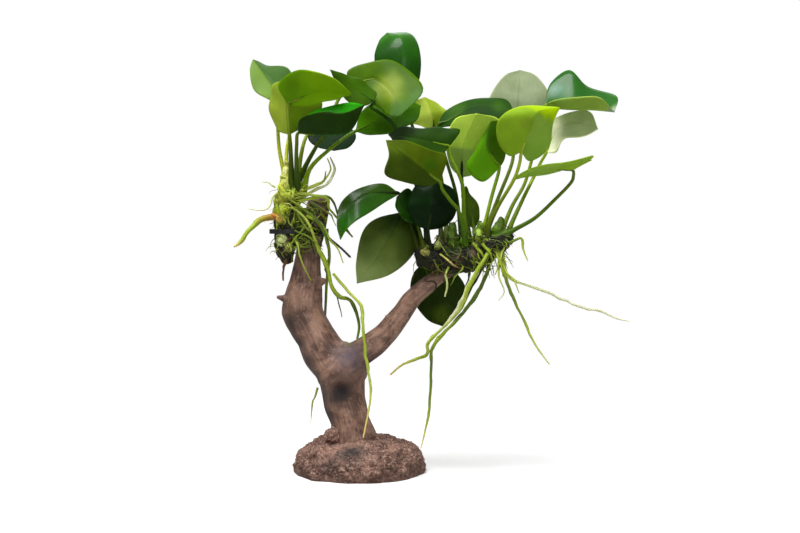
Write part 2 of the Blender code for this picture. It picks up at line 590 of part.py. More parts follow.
def build_leaf(name, rhizome_tool):
    """Blade of even thickness on its stalk, trimmed to the rhizome it grows from."""
    lines = {key: in_metres(points) for key, points in LEAVES[name].items()}
    rib = lines["rib"]
    left = [rib[0], *lines["left"], rib[-1]]
    right = [rib[0], *lines["right"], rib[-1]]
    leaf = add_object(name, blade_mesh(name, rib, left, right), TONES[LEAF_TONES[name]])
    thickness = leaf.modifiers.new("thickness", "SOLIDIFY")
    thickness.thickness = BLADE_THICKNESS
    thickness.offset = 0.0
    path = [*lines["stalk"], rib[0], along(rib, STALK_END)]
    radii = [taper * STALK_RADIUS for taper in STALK_TAPER]
    stalk = add_cutter(name + "_stalk", tube_mesh(name, path, radii, (len(path), THIN_RING)))
    boolean(stalk, "DIFFERENCE", rhizome_tool)
    boolean(leaf, "UNION", stalk)


def build_root(name, rhizome_tool):
    points = in_metres(ROOTS[name])
    radii = [radius * MM for radius in ROOT_RADII[name]]
    detail = (len(points) + 2, THIN_RING)
    root = add_object(name, tube_mesh(name, points, radii, detail), ROOT)
    boolean(root, "DIFFERENCE", rhizome_tool)


clear_scene()
PARTS = make_collection("anubias_on_driftwood")
CUTTERS = make_collection("cutters")
trunk_tool, branch_tool = build_wood()
build_foot(trunk_tool)
left_tool = build_rhizome("left_rhizome", LEFT_RHIZOME, LEFT_RHIZOME_RADII,
                          LEFT_RHIZOME_LUMPS, trunk_tool)
right_tool = build_rhizome("right_rhizome", RIGHT_RHIZOME, RIGHT_RHIZOME_RADII,
                           RIGHT_RHIZOME_LUMPS, branch_tool)
build_tie()
for leaf_name in LEAVES:
    build_leaf(leaf_name, left_tool if leaf_name.startswith("left") else right_tool)
for root_name in ROOTS:
    build_root(root_name, left_tool if root_name.startswith("left") else right_tool)
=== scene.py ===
"""Anubias on driftwood: two small water plants tied and rooted to a forked branch in a sand foot.

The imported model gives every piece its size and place. This script gives each piece its real
surface, and shows it on a pale floor in soft light, from the photograph's angle.
"""
import math
import random

import bpy
import bmesh
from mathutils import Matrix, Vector, noise
from mathutils.bvhtree import BVHTree
from mathutils.kdtree import KDTree


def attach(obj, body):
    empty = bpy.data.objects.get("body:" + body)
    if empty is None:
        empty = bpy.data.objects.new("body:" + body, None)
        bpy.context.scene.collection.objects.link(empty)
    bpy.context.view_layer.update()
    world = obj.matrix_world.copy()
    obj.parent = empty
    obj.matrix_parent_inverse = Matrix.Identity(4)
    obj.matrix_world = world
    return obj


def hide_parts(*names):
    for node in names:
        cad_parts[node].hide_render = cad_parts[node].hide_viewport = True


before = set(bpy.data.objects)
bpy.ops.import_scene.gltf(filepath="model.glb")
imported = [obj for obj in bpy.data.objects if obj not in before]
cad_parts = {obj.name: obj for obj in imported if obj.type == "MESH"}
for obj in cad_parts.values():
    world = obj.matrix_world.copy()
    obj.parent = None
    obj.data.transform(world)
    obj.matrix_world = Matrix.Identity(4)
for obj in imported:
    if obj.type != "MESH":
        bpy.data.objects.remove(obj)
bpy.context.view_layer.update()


# Floor, light and camera.
# The object stands on a pale matt sheet that runs out to plain white, under a broad softbox.
# The camera is a long lens at the height of the plants, tipped down a little.
MM = 0.001
CAMERA_PLACE = Vector((22.8, -800.0, 150.0)) * MM
CAMERA_PITCH = math.radians(2.607)
CAMERA_LENS = 65.4545
CAMERA_SENSOR = 36.0
FLOOR_SIZE = 12.0
FLOOR_FADE = (0.05, 0.40)
WHITE = (1.0, 1.0, 1.0, 1.0)
PALE = (0.94, 0.94, 0.94, 1.0)
DULL = (0.42, 0.42, 0.42, 1.0)
ROOM_LIGHT = 0.26


class Wire:
    """One socket in a material. Sums on wires add Math nodes, and add makes any other node."""

    def __init__(self, tree, socket=None):
        self.tree = tree
        self.socket = socket

    def add(self, kind, settings=None, inputs=None, output=0):
        node = self.tree.nodes.new("ShaderNode" + kind)
        for name, value in (settings or {}).items():
            setattr(node, name, value)
        for name, value in (inputs or {}).items():
            if isinstance(value, Wire):
                self.tree.links.new(value.socket, node.inputs[name])
            else:
                node.inputs[name].default_value = value
        return Wire(self.tree, node.outputs[output])

    def maths(self, operation, first, second=0.0, clamp=False):
        settings = {"operation": operation, "use_clamp": clamp}
        return self.add("Math", settings, {0: first, 1: second})

    def __add__(self, other):
        return self.maths("ADD", self, other)

    def __radd__(self, other):
        return self.maths("ADD", other, self)

    def __sub__(self, other):
        return self.maths("SUBTRACT", self, other)

    def __rsub__(self, other):
        return self.maths("SUBTRACT", other, self)

    def __mul__(self, other):
        return self.maths("MULTIPLY", self, other)

    def __rmul__(self, other):
        return self.maths("MULTIPLY", other, self)

    def __pow__(self, other):
        return self.maths("POWER", self, other)

    def __abs__(self):
        return self.maths("ABSOLUTE", self)

    def step(self, low, high):
        """Smooth rise from 0 to 1 as this value goes from low to high."""
        settings = {"interpolation_type": "SMOOTHSTEP"}
        ends = {"Value": self, "From Min": low, "From Max": high}
        return self.add("MapRange", settings, ends)

    def mix(self, first, second, blend="MIX"):
        """This value's share of the second colour over the first."""
        settings = {"data_type": "RGBA", "blend_type": blend}
        return self.add("Mix", settings, {"Factor": self, 6: first, 7: second}, 2)

    def near(self, place, radius):
        """1 at a place in millimetres on the piece, falling to 0 at the radius."""
        gap = self.add("VectorMath", {"operation": "DISTANCE"},
                       {0: self, 1: tuple(MM * value for value in place)}, 1)
        return 1.0 - gap.step(0.0, radius * MM)

    def grain(self, scale, detail=3.0, stretch=(1.0, 1.0, 1.0)):
        """Soft noise over this vector, with so many lumps to the metre."""
        spread = self.add("VectorMath", {"operation": "MULTIPLY"}, {0: self, 1: stretch})
        return self.add("TexNoise", None, {"Vector": spread, "Scale": scale, "Detail": detail})


def colour(red, green, blue):
    """Linear colour with alpha, from a colour as seen on a screen, 0 to 255."""
    return (*((part / 255) ** 2.2 for part in (red, green, blue)), 1.0)


def new_material(name):
    material = bpy.data.materials.new(name)
    material.use_nodes = True
    return material, Wire(material.node_tree)


def finish_material(material, **inputs):
    """Set or link sockets of the material's shader, each named with _ for a space."""
    shader = material.node_tree.nodes["Principled BSDF"]
    for name, value in inputs.items():
        socket = shader.inputs[name.replace("_", " ")]
        if isinstance(value, Wire):
            material.node_tree.links.new(value.socket, socket)
        else:
            socket.default_value = value


def bumps(height, strength, distance):
    """Normal for a shader from a height in the range 0 to 1; distance is its real rise."""
    return height.add("Bump", None, {"Height": height, "Strength": strength,
                                     "Distance": distance})


def select_only(piece):
    bpy.ops.object.select_all(action="DESELECT")
    piece.select_set(True)
    bpy.context.view_layer.objects.active = piece


bpy.ops.object.select_all(action="DESELECT")
bpy.ops.mesh.primitive_plane_add(size=FLOOR_SIZE)
floor = bpy.context.object
floor.name = "floor"
floor_material, sheet = new_material("pale_sheet")
place = sheet.add("TexCoord", None, None, 3)
reach = place.add("VectorMath", {"operation": "LENGTH"}, {0: place}, 1)
weave = place.grain(9.0).step(0.3, 0.7)
seen = sheet.add("LightPath", None, None, 0)
finish_material(floor_material, Base_Color=seen.mix(DULL, weave.mix(PALE, WHITE)), Roughness=0.9)
paper = Wire(sheet.tree, sheet.tree.nodes["Principled BSDF"].outputs[0])
bright = sheet.add("Emission", None, {"Color": WHITE, "Strength": 1.0})
both = sheet.add("MixShader", None, {0: seen * reach.step(*FLOOR_FADE), 1: paper, 2: bright})
sheet.tree.links.new(both.socket, sheet.tree.nodes["Material Output"].inputs["Surface"])
floor.data.materials.append(floor_material)

world = bpy.data.worlds.new("room")
world.use_nodes = True
sky = Wire(world.node_tree)
seen = sky.add("LightPath", None, None, 0)
backdrop = sky.add("Background", None, {"Color": WHITE, "Strength": 1.0})
height = sky.add("SeparateXYZ", None, {0: sky.add("TexCoord", None, None, 0)}, 2)
room = sky.add("Background", None, {"Color": height.step(-0.2, 0.9).mix((0.72, 0.74, 0.76, 1.0), WHITE),
                                    "Strength": ROOM_LIGHT})
both = sky.add("MixShader", None, {0: seen, 1: room, 2: backdrop})
world.node_tree.links.new(both.socket, world.node_tree.nodes["World Output"].inputs["Surface"])
bpy.context.scene.world = world
bpy.context.scene.view_settings.view_transform = "Standard"


def soft_light(name, place, aim, size, power):
    bpy.ops.object.light_add(type="AREA", location=place)
    light = bpy.context.object
    light.name = name
    light.data.shape = "DISK"
    light.data.size = size
    light.data.energy = power
    light.rotation_euler = (Vector(aim) - Vector(place)).to_track_quat("-Z", "Y").to_euler()


soft_light("top_softbox", (-0.20, -0.30, 1.30), (0.02, 0.0, 0.15), 0.9, 26.0)
soft_light("front_fill", (0.55, -1.2, 0.55), (0.02, 0.0, 0.12), 0.8, 3.5)
soft_light("back_glow", (0.3, 1.1, 0.9), (0.02, 0.0, 0.15), 0.9, 6.0)

bpy.ops.object.camera_add(location=CAMERA_PLACE,
                          rotation=(math.pi / 2 - CAMERA_PITCH, 0.0, 0.0))
camera = bpy.context.object
camera.name = "camera"
camera.data.lens = CAMERA_LENS
camera.data.sensor_width = CAMERA_SENSOR
bpy.context.scene.camera = camera


# Driftwood: trunk, left arm and right branch.
# One forked piece of root wood, stripped of its bark by water and dried hard. It is worn smooth,
# with fine furrows along its length, a knot hollow on the trunk and the stub of a twig.
TRUNK = [(-3, 0, 6), (-3.5, 0, 19), (-5, 0, 28.5), (-8, 1, 39.5), (-9.5, 1, 50.5), (-10, 1, 57),
    (-18, 2, 64), (-24, 3, 74.5), (-28.5, 4, 82.5), (-31.5, 5, 89), (-31, 5, 96),
    (-29.5, 5, 104.5), (-28.5, 5, 112.5), (-27.5, 5, 122.5), (-25, 6, 136.5), (-23, 6, 146.5),
    (-22.5, 6, 151.5)]
TRUNK_RADII = [12.5, 13.3, 11, 11.3, 13, 15.3, 12.2, 10.6, 10.8, 11.8, 11, 8.8, 8, 7, 6.6, 6.2, 5.2]
BRANCH = [(-11.5, 0, 54), (-2, -1, 63.5), (14, -2, 76), (23, -3, 87), (30.5, -4, 97.5),
    (43, -5, 107.5), (56.5, -6, 114), (67.5, -7, 116.5)]
BRANCH_RADII = [8, 8.2, 6.4, 6, 4.8, 4.2, 3.2, 2.2]
STUBS = [
    ([(-33.5, 4, 94.5), (-39.5, 1, 95.5), (-45.2, -2, 97)], [4.6, 3.0, 1.0]),
    ([(-24, 3, 104), (-20.5, -1, 105.5), (-17.8, -3, 106)], [3.6, 2.6, 1.6]),
    ([(17, -4, 84), (15, -7, 87)], [2.0, 0.7]),
    ([(27, -3, 92), (28.5, -6, 88)], [3.6, 2.2]),
]
KNOT_HOLLOW = (-9, -13.5, 46.5)
KNOT_LIPS = [(-12.5, -13.2, 50.5), (-7.5, -13.8, 51)]
# Stains and painted shade on the wood: place and reach in millimetres, share, and colour. The dark rows
# down the left side of the trunk and under the right branch are painted shade, and the near-black row in
# the knot hollow is painted shade in the hollow.
WOOD_STAINS_AND_SHADE = [
    ((-4, -9, 65), 14, 0.85, (84, 74, 86)), ((-9, -10, 49), 18, 0.6, (72, 54, 50)),
    # Painted shade down the left side of the trunk.
    ((-37, -3, 84), 9, 0.9, (50, 36, 32)), ((-33, -3, 72), 10, 0.9, (46, 33, 30)),
    ((-27, -3, 62), 10, 0.9, (46, 33, 30)), ((-23, -3, 52), 10, 0.9, (44, 32, 30)),
    ((-20, -3, 42), 10, 0.9, (44, 32, 30)), ((-17, -3, 32), 9, 0.9, (48, 35, 32)),
    # Painted shade under the right branch.
    ((9, -2, 60), 10, 0.8, (60, 43, 40)), ((21, -2, 69), 9, 0.8, (60, 43, 40)),
    ((31, -3, 81), 9, 0.8, (62, 45, 42)), ((40, -4, 93), 8, 0.8, (62, 45, 42)),
    # Darker beside the left stem and by the end of a twig stub.
    ((-33, -8, 122), 12, 0.7, (62, 50, 34)), ((-20, -6, 106), 6, 0.6, (64, 46, 42)),
    # A green spot, and darker below the knot hollow.
    ((-5, -3, 72), 4, 0.8, (96, 110, 30)), ((-12, -10, 42), 8, 0.8, (34, 25, 24)),
    # Painted shade in the knot hollow.
    ((-9, -10, 46), 9, 1.0, (18, 13, 14)),
]
WOOD_VOXEL = 0.75 * MM
FURROW_DEPTH = 0.10 * MM
SWELLING = 1.2 * MM
KNOT_DEPTH = 2.4 * MM


def along(points, where):
    """Point at fraction where, from 0 to 1, of a smooth curve through the points."""
    last = len(points) - 1
    index = min(int(where * last), last - 1)
    step = where * last - index
    start, end = points[index], points[index + 1]
    before = points[index - 1] if index > 0 else 2 * start - end
    after = points[index + 2] if index + 2 <= last else 2 * end - start
    return 0.5 * (2 * start + (end - before) * step
                  + (2 * before - 5 * start + 4 * end - after) * step ** 2
                  + (3 * start - before - 3 * end + after) * step ** 3)


def between(values, where):
    """Number at fraction where, from 0 to 1, of a list of numbers."""
    scaled = where * (len(values) - 1)
    low = min(int(scaled), len(values) - 2)
    return values[low] + (values[low + 1] - values[low]) * (scaled - low)


def metres(points):
    return [Vector(point) * MM for point in points]


def make_tubes(name, lines, steps, ring):
    """Round tubes as one mesh. Each line is a list of points and a list of radii, in millimetres."""
    curve = bpy.data.curves.new(name, "CURVE")
    curve.dimensions = "3D"
    curve.bevel_depth = MM
    curve.bevel_resolution = ring
    curve.use_fill_caps = True
    for points, radii in lines:
        track = metres(points)
        count = steps * (len(points) - 1)
        spline = curve.splines.new("POLY")
        spline.points.add(count)
        for index, point in enumerate(spline.points):
            where = index / count
            point.co = (*along(track, where), 1.0)
            point.radius = between(radii, where)
    tubes = bpy.data.objects.new(name, curve)
    bpy.context.scene.collection.objects.link(tubes)
    select_only(tubes)
    bpy.ops.object.convert(target="MESH")
    return bpy.context.object


def apply_modifier(piece, kind, **settings):
    select_only(piece)
    modifier = piece.modifiers.new("step", kind)
    for name, value in settings.items():
        setattr(modifier, name, value)
    bpy.ops.object.modifier_apply(modifier="step")


def fuse(piece, voxel):
    """Melt overlapping shapes into one skin of even mesh."""
    apply_modifier(piece, "REMESH", mode="VOXEL", voxel_size=voxel)
    apply_modifier(piece, "SMOOTH", factor=0.5, iterations=3)


def shift(mesh, rise):
    """Move each point along its normal by what rise gives for its place."""
    moves = [point.normal * rise(point.co) for point in mesh.vertices]
    for point, move in zip(mesh.vertices, moves):
        point.co += move
    mesh.update()


def hug(limbs, steps=60):
    """Points along limbs, each with the way the limb runs and the length so far."""
    marks = []
    for points in limbs:
        track = metres(points)
        run = 0.0
        for index in range(steps):
            place = along(track, index / steps)
            after = along(track, (index + 1) / steps)
            marks.append((place, (after - place).normalized(), run))
            run += (after - place).length
    return marks


def unrolled(place, marks, tree):
    """Place along and round a limb: two for where on its ring, one for how far along."""
    start, way, run = marks[tree.find(place)[1]]
    offset = place - start
    ahead = offset.dot(way)
    return Vector((*(offset - way * ahead).xy, run + ahead))


wood = make_tubes("driftwood", [(TRUNK, TRUNK_RADII), (BRANCH, BRANCH_RADII), *STUBS], 6, 8)
fuse(wood, WOOD_VOXEL)
limb_marks = hug([TRUNK, BRANCH])
limb_tree = KDTree(len(limb_marks))
for index, mark in enumerate(limb_marks):
    limb_tree.insert(mark[0], index)
limb_tree.balance()
grain_field = wood.data.attributes.new("limb", "FLOAT_VECTOR", "POINT")
limb_places = [unrolled(point.co, limb_marks, limb_tree) for point in wood.data.vertices]
grain_field.data.foreach_set("vector", [part for spot in limb_places for part in spot])


def furrowed(place, spot):
    swell = noise.noise(place * 70.0) * SWELLING
    line = noise.noise(Vector((spot.x * 420.0, spot.y * 420.0, spot.z * 26.0)))
    fine = noise.noise(Vector((spot.x * 1100.0, spot.y * 1100.0, spot.z * 60.0)))
    rise = swell - FURROW_DEPTH * (abs(line) ** 0.7 + 0.35 * abs(fine))
    hollow = (place - Vector(KNOT_HOLLOW) * MM).length / (5.5 * MM)
    if hollow < 1:
        rise -= KNOT_DEPTH * (1 - hollow ** 2) ** 2
    for lip in KNOT_LIPS:
        near = (place - Vector(lip) * MM).length / (2.6 * MM)
        if near < 1:
            rise += 1.1 * MM * (1 - near ** 2)
    return rise


moves = [point.normal * furrowed(point.co, spot)
         for point, spot in zip(wood.data.vertices, limb_places)]
for point, move in zip(wood.data.vertices, moves):
    point.co += move
wood.data.update()
bpy.ops.object.shade_smooth()

wood_material, sheet = new_material("driftwood_skin")
limb = sheet.add("Attribute", {"attribute_name": "limb"}, None, 1)
place = sheet.add("TexCoord", None, None, 3)
streak = limb.grain(260.0, 6.0, (1.0, 1.0, 0.10))
thread = limb.grain(900.0, 4.0, (1.0, 1.0, 0.08))
cloud = place.grain(70.0, 6.0)
mottle = place.grain(210.0, 5.0)
pits = place.grain(800.0, 2.0)
wood_tone = cloud.step(0.38, 0.62).mix(colour(94, 66, 54), colour(158, 120, 100))
wood_tone = (mottle.step(0.50, 0.66) * 0.5).mix(wood_tone, colour(166, 132, 114))
wood_tone = (mottle.step(0.46, 0.32) * 0.6).mix(wood_tone, colour(74, 54, 50))
wood_tone = (streak.step(0.55, 0.40) * 0.35).mix(wood_tone, colour(84, 62, 54))
wood_tone = (thread.step(0.54, 0.64) * 0.25).mix(wood_tone, colour(186, 156, 140))
wood_tone = (thread.step(0.44, 0.34) * 0.35).mix(wood_tone, colour(60, 44, 40))
wood_tone = (pits.step(0.64, 0.72) * 0.6).mix(wood_tone, colour(54, 38, 34))
wood_tone = (pits.step(0.36, 0.28) * 0.5).mix(wood_tone, colour(196, 168, 150))
# Stains, with painted shade down the left of the trunk, under the right branch and in the knot hollow.
for spot, reach, share, tone in WOOD_STAINS_AND_SHADE:
    wood_tone = (place.near(spot, reach) * share).mix(wood_tone, colour(*tone))
finish_material(wood_material, Base_Color=wood_tone,
                Roughness=0.5 + 0.3 * mottle,
                Normal=bumps(mottle * 0.6 + thread * 0.2 + pits * 0.2, 0.5, 0.0012))
wood.data.materials.append(wood_material)
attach(wood, "root")
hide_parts("driftwood_trunk", "driftwood_left_arm", "driftwood_right_branch")


# Sand foot.
# A mound of coarse reddish sand, cast with resin round the bottom of the wood. It is flat
# underneath, crusted and pitted above, with single pale and dark grains standing out.
FOOT_RADIUS_X = 35.5
FOOT_RADIUS_Y = 36.0
FOOT_HEIGHT = 19.5
FOOT_EDGE = 0.58
FOOT_LEAN = -0.16
FOOT_LUMP = 2.4 * MM
FOOT_LUMP_SCALE = 90.0
SHOULDER_PLACE = (-14.0, -6.7, 21.0)
SHOULDER_RADIUS = 5.0
FOOT_VOXEL = 0.6 * MM
CRUST = [(150.0, 1.5 * MM), (380.0, 1.2 * MM), (1000.0, 0.5 * MM)]
PITS = [((25, -22, 13), 4.5), ((-24, -20, 10), 4.0), ((8, -33, 8), 3.0), ((14, -27, 13), 2.5)]
GRAIN_COUNT = 3000
GRAIN_SIZES = (0.2, 0.5)

bpy.ops.object.select_all(action="DESELECT")
bpy.ops.mesh.primitive_uv_sphere_add(segments=96, ring_count=64, radius=1.0)
foot = bpy.context.object
foot.name = "sand_foot_mound"
bpy.ops.object.mode_set(mode="EDIT")
bpy.ops.mesh.select_all(action="SELECT")
bpy.ops.mesh.bisect(plane_co=(0, 0, 0), plane_no=(0, 0, 1), clear_inner=True, use_fill=True)
bpy.ops.object.mode_set(mode="OBJECT")
for point in foot.data.vertices:
    x, y, z = point.co
    edge = FOOT_EDGE + FOOT_LEAN * x
    mound = Vector((x * FOOT_RADIUS_X, y * FOOT_RADIUS_Y, FOOT_HEIGHT * max(z, 0.0) ** edge)) * MM
    lump = noise.noise(mound * FOOT_LUMP_SCALE) * FOOT_LUMP
    point.co = mound + Vector((x, y, z)).normalized() * lump
    if z <= 0.0:
        point.co.z = 0.0
bpy.ops.object.select_all(action="DESELECT")
bpy.ops.mesh.primitive_ico_sphere_add(subdivisions=3, radius=SHOULDER_RADIUS * MM,
                                      location=Vector(SHOULDER_PLACE) * MM)
bpy.context.view_layer.objects.active = foot
foot.select_set(True)
bpy.ops.object.join()
fuse(foot, FOOT_VOXEL)


def crusted(place):
    rise = 0.0
    for scale, height in CRUST:
        rise += noise.noise(place * scale + Vector((7.0, 3.0, scale))) * height
    for centre, size in PITS:
        near = (place - Vector(centre) * MM).length / (size * MM)
        if near < 1:
            rise -= 0.55 * size * MM * (1 - near ** 2)
    return rise * min(1.0, place.z / (3 * MM))


shift(foot.data, crusted)
for point in foot.data.vertices:
    point.co.z = max(point.co.z, 0.0)
    if point.co.z < 0.6 * MM:
        point.co.z = 0.0


def scatter(mesh, count, sizes, seed, floor_gap=0.8 * MM):
    """Places, normals and sizes of so many small things over a mesh, above the floor."""
    chance = random.Random(seed)
    faces = [face for face in mesh.polygons if face.center.z > floor_gap]
    picked = chance.choices(faces, weights=[face.area for face in faces], k=count)
    return [(face.center.copy(), face.normal.copy(), chance.uniform(*sizes) * MM, chance.random())
            for face in picked]


sand_grains = bmesh.new()
turn = random.Random(11)
for centre, normal, size, _ in scatter(foot.data, GRAIN_COUNT, GRAIN_SIZES, 5):
    made = bmesh.ops.create_icosphere(sand_grains, subdivisions=1, radius=size)["verts"]
    squash = Vector((turn.uniform(0.7, 1.2), turn.uniform(0.7, 1.2), turn.uniform(0.6, 1.0)))
    for corner in made:
        corner.co = centre + normal * size * 0.3 + corner.co * squash
grain_mesh = bpy.data.meshes.new("grains")
sand_grains.to_mesh(grain_mesh)
sand_grains.free()
grains = bpy.data.objects.new("sand_grains", grain_mesh)
bpy.context.scene.collection.objects.link(grains)

sand_material, sheet = new_material("bonded_sand")
place = sheet.add("TexCoord", None, None, 3)
speck = place.add("TexVoronoi", {"feature": "F1"}, {"Vector": place, "Scale": 1300.0}, 1)
speck_tone = speck.add("SeparateColor", None, {"Color": speck})
lump = place.grain(90.0, 5.0)
dust = place.grain(420.0, 4.0)
sand_tone = lump.step(0.35, 0.65).mix(colour(104, 76, 66), colour(146, 112, 98))
sand_tone = (dust.step(0.5, 0.66) * 0.45).mix(sand_tone, colour(172, 138, 120))
sand_tone = (dust.step(0.46, 0.34) * 0.6).mix(sand_tone, colour(72, 50, 44))
sand_tone = (speck_tone.step(0.86, 0.92) * 0.45).mix(sand_tone, colour(200, 172, 150))
sand_tone = (speck_tone.step(0.16, 0.10) * 0.6).mix(sand_tone, colour(50, 38, 36))
height = place.add("SeparateXYZ", None, {0: place}, 2)
sand_tone = (height.step(8 * MM, 0.0) * 0.45).mix(sand_tone, colour(80, 58, 50))
sand_tone = (place.near((-9, -16, 21), 13) * 0.5).mix(sand_tone, colour(164, 130, 114))
sand_tone = (place.near((-3, -27, 14), 13) * lump.step(0.3, 0.5)).mix(sand_tone, colour(50, 48, 48))
sand_tone = (place.near((-16, -32, 10), 9) * 0.6).mix(sand_tone, colour(56, 50, 50))
# Painted shade in the pit at the front right of the foot.
sand_tone = (place.near((25, -23, 13), 6) * 0.8).mix(sand_tone, colour(60, 42, 38))
finish_material(sand_material, Base_Color=sand_tone, Roughness=0.9,
                Normal=bumps(dust * 0.6 + speck_tone * 0.15, 0.6, 0.0012))
for piece in (foot, grains):
    piece.data.materials.clear()
    piece.data.materials.append(sand_material)
    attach(piece, "root")
    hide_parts("sand_foot")


